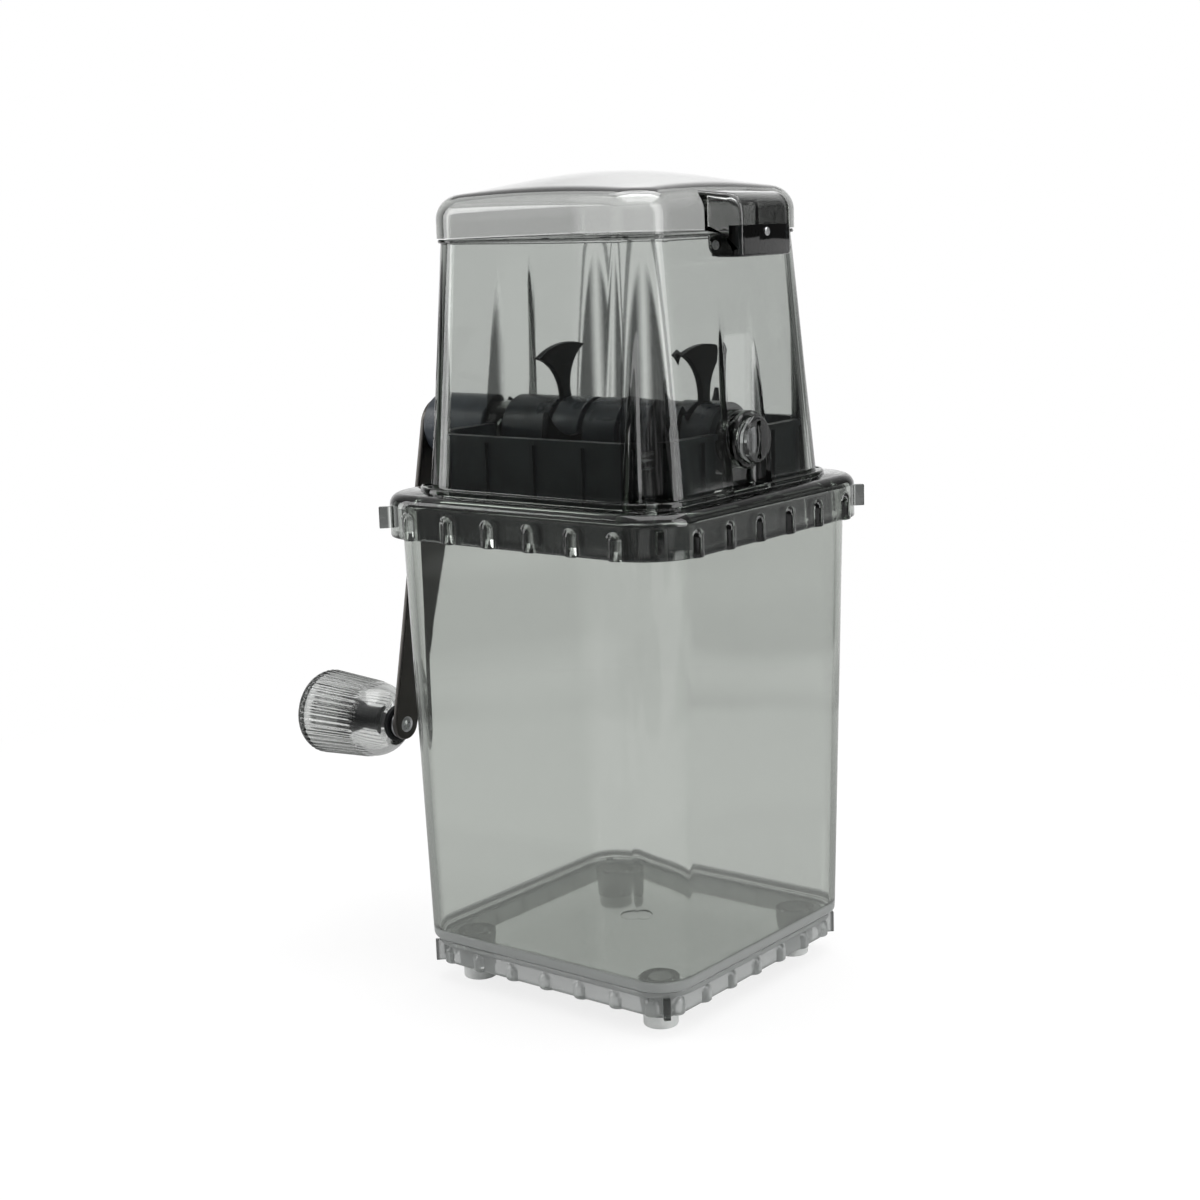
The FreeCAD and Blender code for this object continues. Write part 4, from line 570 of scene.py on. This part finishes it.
# %% Lid
def pillow_block(name, inset, bottom):
    """Closed block under the pillow. Round the edge, d goes in by r(1 - cos t) while the height
    falls short of the pillow by r(1 - sin t)."""
    track = walk(28, 26)
    radius = LID_ROUND - inset
    turn = np.linspace(0, np.pi / 2, 14)
    drawn_in = np.concatenate([np.zeros(4), radius * (1 - np.cos(turn))])
    x, y = square_rows(track, LID_HALF - inset - drawn_in, LID_CORNER - inset - drawn_in)
    share = [0.96, 0.9, 0.82, 0.72, 0.6, 0.46, 0.32, 0.18, 0.05]
    x, y = close_ends(x, y, share[::-1][::3], share)
    edge = LID_EDGE - inset

    def pillow(x, y):
        return edge + LID_RISE * (1 - (x / LID_HALF) ** 2) * (1 - (y / LID_HALF) ** 2)

    z = pillow(x, y)
    z[7:21] -= (radius * (1 - np.sin(turn)))[:, None]
    z[:3] = bottom
    z[3:7] = np.linspace(bottom, edge - radius, 5)[:-1, None]
    return grid_mesh(name, stack(x, y, z), poles=[(0, 0, bottom), (0, 0, float(pillow(0.0, 0.0)))])


def rounded_loop(corners, count=9):
    """Closed outline through corners (across, up, radius), walked clockwise. A corner's arc has its
    centre on the bisector and touches both sides."""
    points = np.array(corners, float)
    loop = []
    for here, before, after in zip(points, np.roll(points, 1, axis=0), np.roll(points, -1, axis=0)):
        if here[2] == 0:
            loop.append(here[None, :2])
            continue
        back, on = unit(before[:2] - here[:2]), unit(after[:2] - here[:2])
        half_angle = math.acos(float(back @ on)) / 2
        centre = here[:2] + unit(back + on) * here[2] / math.sin(half_angle)
        touch = here[2] / math.tan(half_angle)
        loop.append(arc(here[:2] + touch * back, here[:2] + touch * on, centre, count))
    return np.vstack(loop)


def side_prism(name, corners, half, round_end):
    """Side view carried along Y from -half to half. Near each end every point moves in along the
    outline's normal by R - sqrt(R^2 - s^2), which rounds the end's edge."""
    loop = rounded_loop(corners)
    run = np.roll(loop, -1, axis=0) - np.roll(loop, 1, axis=0)
    run /= np.linalg.norm(run, axis=1)[:, None]
    inward = np.stack([run[:, 1], -run[:, 0]], axis=-1)
    turn = np.linspace(np.pi / 2, 0, 7)
    y_end = -half + round_end * (1 - np.sin(turn))
    in_end = round_end * (1 - np.cos(turn))
    y = np.concatenate([y_end, [0.0], -y_end[::-1]])
    drawn_in = np.concatenate([in_end, [0.0], in_end[::-1]])
    flat = loop[None] + drawn_in[:, None, None] * inward[None]
    y_all = np.broadcast_to(y[:, None], flat.shape[:2])
    grid = np.stack([flat[..., 0], y_all, flat[..., 1]], axis=-1)
    middle = loop.mean(axis=0)
    return grid_mesh(name, grid, poles=[(middle[0], -half, middle[1]), (middle[0], half, middle[1])])


def make_lid(material):
    """Pillow and bulge joined, hollowed by smaller ones, slit open where the hinge's cheeks turn,
    and bored for the pin and the screw. Each side view is a list of (x, z, corner radius)."""
    low, root, face, crown = PIN_HEIGHT - 3.6, 40.0, 56.6, 254.8
    half, hollow_half, wall = 14.1, 12.3, 1.8
    pin_radius, screw_radius, screw_height = 1.45, 0.85, 242.0
    lid = add_object("lid", pillow_block("lid", 0.0, LID_BOTTOM))
    bulge = [(root, crown, 0), (face, crown - 1.5, 6.0), (face, low, 0.8), (44.0, low, 3.6),
             (44.0, LID_BOTTOM, 0), (root, LID_BOTTOM, 0)]
    carve(lid, side_prism("bulge", bulge, half, 2.2), "UNION")
    carve(lid, pillow_block("inside", WALL, LID_BOTTOM - 4))
    hollow = [(LID_HALF, crown - 2, 0), (face - wall, crown - 3.2, 4.2), (face - wall, low - 4, 0),
              (LID_HALF, low - 4, 0)]
    carve(lid, side_prism("hollow", hollow, hollow_half, 1.0))
    slit = [(root, LID_BOTTOM, 0), (48.0, LID_BOTTOM, 0), (48.0, low - 4, 0), (root, low - 4, 0)]
    carve(lid, side_prism("slit", slit, hollow_half, 0.05))
    carve(lid, disc_mesh("pin bore", (PIN_CENTRE, 0, PIN_HEIGHT), (0, 1, 0), pin_radius, 40, 32))
    screw = (face - 1.1, 0, screw_height)
    carve(lid, disc_mesh("screw bore", screw, (1, 0, 0), screw_radius, 4, 24))
    return finish_piece(lid, "lid_shell", material, sharp_degrees=32.0)


# %% [markdown]
# ## The knob
#
# One turned surface makes the whole hollow knob: from the middle of its end wall inwards, round the
# tube that holds the core, along the inside to the neck, and back along the outside to the crown. The
# 44 fine ribs are a swell of the outside, so they follow the taper of the grip.

# %% Knob
def make_knob(material):
    """Profile of (distance from the core's face, radius), and for each row how much of a rib shows.
    A rib is a round bar, so across it the swell is sqrt(r^2 - d^2) less what is sunk."""
    hole, ball, ball_at, wall = 5.65, 13.0, 12.0, 2.2
    grip_at, grip, rim_at, rim, crown_at = 34.0, 14.4, 36.8, 11.6, 38.5
    cavity = math.sqrt((ball - wall) ** 2 - hole ** 2)
    rise = crown_at - rim_at
    crown_radius = (rim ** 2 + rise ** 2) / (2 * rise)
    tilt = np.linspace(math.asin(rim / crown_radius), 0.02, 8)[1:]
    crown = [crown_at - crown_radius * (1 - np.cos(tilt)), crown_radius * np.sin(tilt)]
    inside = np.vstack([
        [(34.6, 0.4), (34.6, hole - 0.1), (34.5, hole), (23.9, hole), (23.8, hole + 0.1),
         (23.8, hole + 1.3), (23.9, hole + 1.4), (34.5, hole + 1.4), (34.6, hole + 1.5),
         (34.6, 10.3)],
        arc((34.4, 10.6), (grip_at, grip - wall), (33.9, 10.9), 2),
        np.stack([np.linspace(33.5, ball_at, 8), np.linspace(grip - wall, ball - wall, 8)], axis=-1),
        arc((ball_at, ball - wall), (ball_at - cavity, hole + 0.1), (ball_at, 0), 16)[1:]])
    grips = np.linspace(ball_at, grip_at, 26)[1:]
    outside = np.vstack([
        [(1.7, hole), (1.6, hole + 0.1), (1.6, 7.6)],
        arc((1.62, 7.85), (ball_at, ball), (ball_at, 0), 16),
        np.stack([grips, ball + (grip - ball) * (grips - ball_at) / (grip_at - ball_at)], axis=-1),
        quarter_arc((grip_at, grip), (rim_at, rim), 9, upright=False)[1:],
        np.stack(crown, axis=-1)])
    profile = np.vstack([inside, outside])
    ribs, rib_radius, proud = 44, 0.75, 0.4
    columns = 10 * ribs
    step = (np.arange(columns) / columns * ribs + 0.5) % 1 - 0.5
    distance = step * 2 * np.pi * grip / ribs
    bar = np.sqrt(np.maximum(rib_radius ** 2 - distance ** 2, 0.0)) - (rib_radius - proud)
    end = np.minimum((profile[:, 0] - ball_at + 0.6) / 0.8, (grip_at + 0.4 - profile[:, 0]) / 0.8)
    shown = np.clip(end, 0.0, 1.0)
    shown[:len(inside)] = 0.0
    swell = np.sqrt(shown)[:, None] * np.maximum(bar, 0.0)[None, :]
    centre = (knob_high[0] + profile[:, 0].min(), *((knob_low + knob_high) / 2)[1:])
    mesh = turned_mesh("knob", profile, centre, (-1, 0, 0), columns, swell)
    return finish_piece(add_object("knob", mesh), "knob_shell", material, sharp_degrees=50.0)


# %% [markdown]
# ## Pieces that keep their CAD shape
#
# Screws, blades and brackets are right as they are, but a CAD mesh is loose triangles with hard
# edges. A merged copy gets its flat faces back, a fine bevel, because no real edge is perfectly
# sharp, and normals weighted by area, which keep flat faces flat beside round ones.

# %% Merged copies
def refined(node, material, bevel):
    """Piece from a CAD node: merged, flat faces joined, edges bevelled by some tenths of a
    millimetre, and shaded smoothly."""
    sharp_degrees = 40.0
    bm = bmesh.new()
    bm.from_mesh(frame["nodes"][node].data)
    bmesh.ops.remove_doubles(bm, verts=bm.verts, dist=0.004 * MM)
    bmesh.ops.dissolve_limit(bm, angle_limit=math.radians(0.6), verts=bm.verts, edges=bm.edges)
    mesh = bpy.data.meshes.new(node + "_piece")
    bm.to_mesh(mesh)
    bm.free()
    thing = add_object(mesh.name, mesh)
    modify(thing, "BEVEL", width=bevel * MM, segments=2, limit_method="ANGLE",
           angle_limit=math.radians(sharp_degrees), use_clamp_overlap=True)
    finish_piece(thing, node, material, sharp_degrees)
    weigh = thing.modifiers.new("normals", "WEIGHTED_NORMAL")
    weigh.keep_sharp = True


# %% [markdown]
# ## Writing shaders as sums
#
# Node graphs read well as formulas. The Value class wraps a socket: adding or multiplying two of them
# adds a Math node, so a mask is written as the sum it is. Every other node comes from one method.

# %% Shader helper
def math_node(kind, turned=False):
    """Operator that adds a Math node of a kind. A turned one has its own value second."""
    def operator(value, other):
        first, second = (other, value) if turned else (value, other)
        return value.board.node("Math", {0: first, 1: second}, operation=kind)
    return operator


class Value:
    """A number that varies over a surface: one output socket, with arithmetic."""

    __add__ = __radd__ = math_node("ADD")
    __mul__ = __rmul__ = math_node("MULTIPLY")
    __sub__ = math_node("SUBTRACT")
    __rsub__ = math_node("SUBTRACT", turned=True)
    __pow__ = math_node("POWER")

    def __init__(self, board, socket):
        self.board = board
        self.socket = socket

    def above(self, edge, width):
        """0 below an edge, 1 above it, and a ramp of the given width between."""
        inputs = {"Value": self, "From Min": edge - width / 2, "From Max": edge + width / 2}
        return self.board.node("MapRange", inputs, "Result", clamp=True)


class Board:
    """The node tree of a material, a lamp or the world."""

    def __init__(self, name, shelf=bpy.data.materials, output="OutputMaterial", **kind):
        self.owner = shelf.new(name, **kind)
        self.owner.use_nodes = True
        self.tree = self.owner.node_tree
        self.tree.nodes.clear()
        self.output = self.tree.nodes.new("ShaderNode" + output)

    def node(self, kind, inputs=None, output=0, **settings):
        """Add a node: options first, then its inputs by name or number; returns one output."""
        node = self.tree.nodes.new("ShaderNode" + kind)
        for name, value in settings.items():
            setattr(node, name, value)
        self.feed(node, inputs or {})
        return Value(self, node.outputs[output])

    def feed(self, node, inputs):
        """Link or set each input, by its name or number."""
        for name, value in inputs.items():
            if isinstance(value, Value):
                self.tree.links.new(value.socket, node.inputs[name])
            else:
                node.inputs[name].default_value = value

    def place(self):
        return self.node("TexCoord", output="Object")

    def part(self, vector, axis):
        """One part of a vector: its X, Y or Z."""
        return self.node("SeparateXYZ", {0: vector}, axis)

    def size(self, value):
        """Distance of a number from nothing."""
        return self.node("Math", {0: value}, operation="ABSOLUTE")

    def stretched(self, scale):
        """Object coordinates, multiplied along X, Y and Z."""
        return self.node("Mapping", {"Vector": self.place(), "Scale": scale}, vector_type="POINT")

    def noise(self, scale, detail=4.0, rough=0.55, vector=None):
        inputs = {"Vector": vector or self.place(), "Scale": scale, "Detail": detail}
        return self.node("TexNoise", {**inputs, "Roughness": rough}, noise_dimensions="3D")

    def mix(self, factor, first, second):
        """Colour between two colours."""
        node = self.tree.nodes.new("ShaderNodeMix")
        node.data_type = "RGBA"
        self.feed(node, {0: factor, 6: (*first, 1), 7: (*second, 1)})
        return Value(self, node.outputs[2])

    def greys(self, factor, dark, light):
        """Colour between two greys."""
        return self.mix(factor, (dark,) * 3, (light,) * 3)

    def bump(self, height, distance, strength=1.0):
        """Normal of a height map: distance is how deep the map is, in metres."""
        return self.node("Bump", {"Height": height, "Distance": distance, "Strength": strength})

    def skin(self, **inputs):
        """Principled shader; inputs are named with an underscore for a space."""
        named = {name.replace("_", " "): value for name, value in inputs.items()}
        return self.node("BsdfPrincipled", named)

    def blend(self, factor, first, second):
        """Shader between two shaders."""
        return self.node("MixShader", {0: factor, 1: first, 2: second})

    def surface(self, shader, **volume):
        """Link the output, and return what the tree belongs to."""
        self.feed(self.output, {"Surface": shader, **volume})
        return self.owner

    def rays(self, ahead=0):
        """Masks of the rays that look straight at a thing, also through glass, and of those that a
        gloss mirrored. The rest light the dull surfaces. A straight ray has as many bounces as it
        has passes through glass; lamps and the world count one more, which ahead allows for."""
        flags = [self.node("LightPath", output=name) for name in
                 ("Is Camera Ray", "Is Transmission Ray", "Is Glossy Ray")]
        seen = (flags[0] + flags[1] + flags[2]).above(0.5, 0.2)
        bounces, passes, dull = (self.node("LightPath", output=name) for name in
                                 ("Ray Depth", "Transmission Depth", "Diffuse Depth"))
        turned = (bounces - passes).above(0.5 + ahead, 0.2)
        return seen * (1 - turned), seen * turned * (1 - dull.above(0.5, 0.2))


# %% [markdown]
# ## Smoke clear plastic
#
# The moulding is colourless at its skin and smoky inside: light loses a share of itself for every
# millimetre of plastic. So the surface is a clear dielectric, and a Volume Absorption behind it does
# the tinting, which makes thick places darker by themselves. Two walls of the jar let somewhat less
# than half of the light through. Moulded sheets are never quite flat, and a very low, broad bump
# bends the reflections.
#
# A wall seen edge on bends light through many bounces, and nearly none comes back. A mask of facing
# stands for that with painted shade: it mixes a dark rim colour into the skin, except on level faces.
# Upright faces get a share of painted shade, and the wells, flutes, lugs, the bead and the bulge get
# painted shade from masks of their own, worked out from where they are.

# %% Masks of the painted shade on the clear plastic
BEAD_LOW = 241.0
BULGE_START = 45.0
FLUTE_FLANK = 12.8
FLUTE_DEEP = 36.0


def groove_shade_mask(board):
    """Painted shade on the turned sides of the hopper's wells and flutes, where the plastic is seen
    edge on. A well's two faces are round about its axis, so they lie at two known distances from it,
    and its middle stays clear. A flute's sides are the faces there whose normal turns along Y."""
    place, normal = board.place(), board.node("TexCoord", output="Normal")
    x, y = board.size(board.part(place, "X")), board.size(board.part(place, "Y"))
    east, north = x - WELL_CENTRE * MM, y - WELL_CENTRE * MM
    away = (east * east + north * north) ** 0.5
    on_face = 0
    for radius in (WELL_RADIUS, WELL_RADIUS + WALL):
        on_face = (1 - board.size(away - radius * MM).above(0.5 * MM, 0.4 * MM)) + on_face
    well = on_face * board.size(east - north).above(2 * MM, 3 * MM)
    turned = board.size(board.part(normal, "Y")).above(0.4, 0.4)
    return well + turned * (1 - y.above(FLUTE_FLANK * MM, MM)) * x.above(FLUTE_DEEP * MM, 2 * MM)


def bead_shade_mask(board):
    """Painted shade on the bead at the hopper's mouth, which the lid covers."""
    return board.part(board.place(), "Z").above(BEAD_LOW * MM, 0.4 * MM)


def bulge_shade_mask(board):
    """Painted shade on the lid's bulge, which stands for its two walls and the dark hinge in it."""
    return board.part(board.place(), "X").above(BULGE_START * MM, 3 * MM)


def lug_shade_mask(board, half, corner):
    """Where the painted shade on the lugs goes: what lies further out on the diagonals than a
    square's round corners.
    """
    reach = (half - corner) * math.sqrt(2) + corner + 0.5
    x, y = (board.size(board.part(board.place(), axis)) for axis in "XY")
    return ((x + y) * math.sqrt(0.5)).above(reach * MM, 0.8 * MM)


# %% Clear plastics
def clear_plastic(name, keep, density, edge=4.0, upright=0.0, haze=0.03, polish=0.0, masks=(),
                  lugs=None, grey_foot=None):
    """Keep is the tint's colour and density how strongly a metre of plastic absorbs the rest. Seen
    edge on, the skin takes the dark rim colour as painted shade, by facing to the power of edge.
    Upright paints shade on all upright faces by a share, masks (function, share) paint shade on what
    they mark, and lugs (half width, corner radius) on the ends that stand out of such a square. Haze
    is the roughness and polish the clear coat of level faces. The last argument is (height, share):
    upright faces below it, except on the lugs, get that share of a dull grey skin."""
    board = Board(name)
    # The rim colour is the painted shade of faces seen edge on, and the lug share is the painted
    # shade on the lugs.
    rim, lug_shade_share = (0.02, 0.023, 0.023), 0.85
    broad, fine = board.noise(26.0, detail=1.0), board.noise(420.0, detail=3.0)
    normal = board.bump(broad * 0.9 + fine * 0.02, 0.12 * MM)
    rough = board.noise(60.0, detail=5.0, rough=0.7).above(0.62, 0.3) * 0.03 + haze
    facing = board.node("LayerWeight", {"Blend": 0.5}, "Facing")
    level = board.part(board.node("TexCoord", output="Normal"), "Z")
    steep = 1 - level * level
    shares = [steep * upright] + [mask(board) * share for mask, share in masks]
    if lugs is not None:
        lug = lug_shade_mask(board, *lugs)
        shares.append(lug * lug_shade_share)
    # Painted shade: dark rims where a face is seen edge on, with the upright, masked and lug shares
    # laid over them.
    dark = facing ** edge * steep
    for share in shares:
        dark = dark + share * (1 - dark)
    skin = board.skin(Base_Color=board.mix(dark, (1, 1, 1), rim), Roughness=rough,
                      Transmission_Weight=1.0, IOR=1.53, Normal=normal,
                      Coat_Weight=level.above(0.85, 0.2) * polish, Coat_Roughness=0.05, Coat_IOR=1.9)
    # A share of dull grey skin on upright faces low down.
    if grey_foot is not None:
        height = board.part(board.place(), "Z")
        grey_share = (1 - height.above(grey_foot[0] * MM, 0.8 * MM)) * steep.above(0.3, 0.4) * grey_foot[1]
        if lugs is not None:
            grey_share = grey_share * (1 - lug)
        dull = board.skin(Base_Color=(0.42, 0.44, 0.43, 1), Roughness=rough + 0.25)
        skin = board.blend(grey_share, skin, dull)
    inside = board.node("VolumeAbsorption", {"Color": (*keep, 1), "Density": density})
    return board.surface(skin, Volume=inside)


# The edge, upright, masks and lugs settings below set each plastic's painted shade.
jar_plastic = clear_plastic("smoke clear jar", (0.46, 0.50, 0.45), 250.0, upright=0.05,
                            grey_foot=(18.8, 0.5))
head_plastic = clear_plastic("smoke clear hopper", (0.46, 0.50, 0.46), 225.0, edge=2.6,
                             upright=0.02, masks=[(groove_shade_mask, 0.85), (bead_shade_mask, 0.6)],
                             lugs=(COLLAR_HALF, COLLAR_CORNER))
base_plastic = clear_plastic("smoke clear base", (0.50, 0.54, 0.52), 90.0, edge=3.0, upright=0.3,
                             lugs=(BASE_HALF, BASE_CORNER), grey_foot=(15.2, 0.4))
lid_plastic = clear_plastic("smoke clear lid", (0.50, 0.53, 0.49), 120.0, edge=1.3,
                            upright=0.12, polish=1.0, masks=[(bulge_shade_mask, 0.5)])
knob_plastic = clear_plastic("smoke clear knob", (0.45, 0.47, 0.45), 160.0, edge=6.0, haze=0.08)
plug_plastic = clear_plastic("smoke clear plug", (0.45, 0.47, 0.46), 120.0)


# %% [markdown]
# ## Dark plastic, steel and rubber
#
# The cassette and hinge are near-black polypropylene: a fine moulded grain, a soft sheen and a mottle
# of paler patches. The blades are stamped steel in a near-black colour, a painted dark reflection of
# what their steel mirrors, the combs and the arm brushed steel with hairlines along their length, and
# the pads a pale translucent rubber.

# %% Opaque materials
def dark_plastic(name, colour, rough=0.38, grain=0.03):
    """Near-black plastic: a soft mottle in the colour, and in the bump a grain of some hundredths of
    a millimetre."""
    board = Board(name)
    mottle = board.noise(90.0, detail=6.0, rough=0.6)
    pale = tuple(min(1.0, 1.9 * c + 0.01) for c in colour)
    rubbed = board.noise(35.0, detail=5.0, rough=0.7)
    return board.surface(board.skin(
        Base_Color=board.mix(mottle.above(0.56, 0.35) * 0.6, colour, pale), IOR=1.42,
        Roughness=rubbed * 0.25 + (rough - 0.1),
        Normal=board.bump(board.noise(1800.0, detail=2.0), grain * MM, 0.6)))


def brushed_steel(name, colour, stretch, rough=0.3, dirt=0.35):
    """Steel with hairlines: noise pressed long in one direction, and darker smears of oil."""
    board = Board(name)
    lines = board.noise(1400.0, detail=3.0, vector=board.stretched(stretch))
    smear = board.noise(55.0, detail=6.0, rough=0.65)
    dark = tuple(c * (1 - dirt) for c in colour)
    return board.surface(board.skin(
        Base_Color=board.mix(smear.above(0.5, 0.5) * 0.8 + lines * 0.2, dark, colour), Metallic=1.0,
        Roughness=lines * 0.22 + smear * 0.12 + (rough - 0.17),
        Normal=board.bump(lines, 0.012 * MM, 0.7)))


def pad_rubber(name):
    """Pale, slightly dusty rubber."""
    board = Board(name)
    dust = board.noise(140.0, detail=6.0)
    return board.surface(board.skin(
        Base_Color=board.mix(dust.above(0.5, 0.5), (0.60, 0.62, 0.61), (0.80, 0.81, 0.80)),
        Roughness=dust * 0.3 + 0.35, Subsurface_Weight=0.25, Subsurface_Radius=(0.004, 0.004, 0.004),
        Normal=board.bump(dust, 0.03 * MM)))


cassette_plastic = dark_plastic("dark cassette plastic", (0.010, 0.015, 0.017))
spacer_plastic = dark_plastic("dark spacer plastic", (0.022, 0.027, 0.031), rough=0.26, grain=0.01)
hinge_plastic = dark_plastic("dark hinge plastic", (0.012, 0.016, 0.017), rough=0.24, grain=0.01)
core_plastic = dark_plastic("dark core plastic", (0.004, 0.005, 0.006), rough=0.5)
hub_plastic = dark_plastic("dark hub plastic", (0.030, 0.036, 0.044), rough=0.26, grain=0.01)
# The blades' near-black colour is a painted dark reflection: it stands for the dark that bright steel
# mirrors in there.
painted_dark_blade_steel = brushed_steel("dark blade steel", (0.025, 0.027, 0.028), (1, 1, 0.06), rough=0.34)
comb_steel = brushed_steel("comb steel", (0.42, 0.43, 0.43), (0.05, 1, 1))
shaft_steel = brushed_steel("shaft steel", (0.55, 0.56, 0.57), (1, 0.05, 0.05), rough=0.28)
arm_steel = brushed_steel("arm steel", (0.10, 0.095, 0.09), (1, 1, 0.04), rough=0.32)
screw_steel = brushed_steel("screw steel", (0.72, 0.73, 0.74), (1, 1, 1), rough=0.24, dirt=0.2)
rubber = pad_rubber("pad rubber")

# %% [markdown]
# ## Dress the model
#
# Each piece is made once, stands for its CAD node and rides on that node's body.

# %% Make the pieces
make_jar(jar_plastic)
make_housing(head_plastic)
make_base(base_plastic)
make_lid(lid_plastic)
make_knob(knob_plastic)
kept = [("bearing_plug", plug_plastic, 0.3), ("crank_bush", hinge_plastic, 0.3),
        ("cassette_frame", cassette_plastic, 0.2), ("breaker_combs", comb_steel, 0.2),
        ("housing_screws", screw_steel, 0.4), ("hinge_bracket", hinge_plastic, 0.3),
        ("hinge_pin", screw_steel, 0.2), ("hinge_block", hinge_plastic, 0.3),
        ("hinge_block_screw", screw_steel, 0.3), ("blade_shaft", shaft_steel, 0.25)]
kept += [(f"blade_{number}", painted_dark_blade_steel, 0.45) for number in range(1, 6)]
kept += [("shaft_spacers", spacer_plastic, 0.3), ("crank_hub", hub_plastic, 0.6),
         ("crank_arm", arm_steel, 0.45), ("hub_nut", screw_steel, 0.3),
         ("knob_spindle", shaft_steel, 0.3), ("knob_washer", shaft_steel, 0.3),
         ("knob_core", core_plastic, 0.4), ("foot_pads", rubber, 0.3)]
for node, material, bevel in kept:
    refined(node, material, bevel)


# %% [markdown]
# ## Floor, light and camera
#
# The set is a white table in front of a white backdrop. Rays that look straight at it, also through
# the plastic, see pure white, and on the floor a share of lit paint that keeps the soft shadow. Rays
# that a gloss mirrors see a room instead: bright above and towards the backdrop, dim in front. That
# gives the plastic its dark and light reflections, while the light on dull surfaces stays plain.

# %% Floor and world
WHITE = (1, 1, 1, 1)
BACKDROP = (-0.62, 0.78, 0.0)


def toward_backdrop(board, vector):
    """How far a vector points to the backdrop."""
    return board.node("VectorMath", {0: vector, 1: BACKDROP}, "Value", operation="DOT_PRODUCT")


def white_floor():
    """Straight rays see the floor's own white with a share of lit paint, which fades out with the
    distance from the object. Mirrored rays see white towards the backdrop, and elsewhere a grey
    table with dark and light patches beyond its edge."""
    board = Board("white table")
    straight, mirrored = board.rays()
    place = board.place()
    far = board.node("VectorMath", {0: place}, "Value", operation="LENGTH")
    behind = toward_backdrop(board, place).above(0.35, 0.5)
    paint = board.greys(board.noise(3.0, detail=3.0), 0.90, 0.94)
    lit = board.skin(Base_Color=paint, Roughness=0.9)
    white = board.node("Emission", {"Color": WHITE})
    patches = board.noise(2.6, detail=1.0, rough=0.4).above(0.54, 0.05) * 0.75
    table = 1 - far.above(0.37, 0.02)
    tone = board.greys(patches * (1 - table) + table * 0.6, 0.06, 0.8)
    dim = board.node("Emission", {"Color": tone})
    plain = board.blend(far.above(0.3, 0.3) * 0.2 + 0.8, lit, white)
    shown = board.blend(straight, lit, plain)
    bright = board.blend(mirrored * behind, shown, white)
    return board.surface(board.blend(mirrored * (1 - behind) * 0.85, bright, dim))


def make_floor():
    mesh = bpy.data.meshes.new("floor")
    reach = 6.0
    corners = [(-reach, -reach, 0), (reach, -reach, 0), (reach, reach, 0), (-reach, reach, 0)]
    mesh.from_pydata(corners, [], [(0, 1, 2, 3)])
    floor = add_object("floor", mesh)
    floor.data.materials.append(white_floor())


def make_world():
    """White for straight rays, the room for mirrored ones and plain soft light for the rest."""
    board = Board("studio", bpy.data.worlds, "OutputWorld")
    straight, mirrored = board.rays(ahead=1)
    direction = board.node("TexCoord", output="Generated")
    behind = toward_backdrop(board, direction).above(0.72, 0.4)
    overhead = board.part(direction, "Z").above(0.5, 0.5)
    room = overhead * 0.5 + behind * 0.92 * (1 - overhead) + 0.08
    strength = straight + mirrored * room + (1 - straight - mirrored) * 0.55
    board.surface(board.node("Background", {"Color": WHITE, "Strength": strength}))
    bpy.context.scene.world = board.owner


# %% Lamps
def soft_box(name, place, width, height, watts):
    """Area lamp that faces the middle of the object. Rays that look straight through the plastic
    don't see it, so it never shows as a white patch behind the object."""
    board = Board(name, bpy.data.lights, "OutputLight", type="AREA")
    straight = board.rays(ahead=1)[0]
    lamp = board.surface(board.node("Emission", {"Strength": 1 - straight}))
    lamp.shape = "RECTANGLE"
    lamp.size, lamp.size_y, lamp.energy = width, height, watts
    thing = add_object(name, lamp)
    middle = Vector((0, 0, 0.14))
    thing.location = place
    thing.rotation_euler = (middle - Vector(place)).to_track_quat("-Z", "Y").to_euler()


# %% Camera
def make_camera():
    """A long lens at the front right, a little above the object: yaw about the upright axis, then
    pitch, then a slight roll."""
    place = Vector((399.9, -518.3, 249.9)) * MM
    yaw, pitch, roll = np.radians([38.43, 10.81, -1.8])
    data = bpy.data.cameras.new("camera")
    data.sensor_width = 36.0
    data.lens = 61.32
    data.clip_start, data.clip_end = 0.01, 50
    turn = (Matrix.Rotation(yaw, 4, "Z") @ Matrix.Rotation(math.pi / 2 - pitch, 4, "X")
            @ Matrix.Rotation(roll, 4, "Z"))
    camera = add_object("camera", data)
    camera.matrix_world = Matrix.Translation(place) @ turn
    bpy.context.scene.camera = camera


make_floor()
make_world()
make_camera()
soft_box("top box", (0.1, 0.1, 1.3), 1.3, 1.3, 16)
soft_box("left box", (-1.1, -0.7, 0.5), 0.5, 1.2, 7)
soft_box("right box", (1.1, 0.2, 0.5), 0.5, 1.2, 6)
bpy.context.scene.view_settings.view_transform = "Standard"
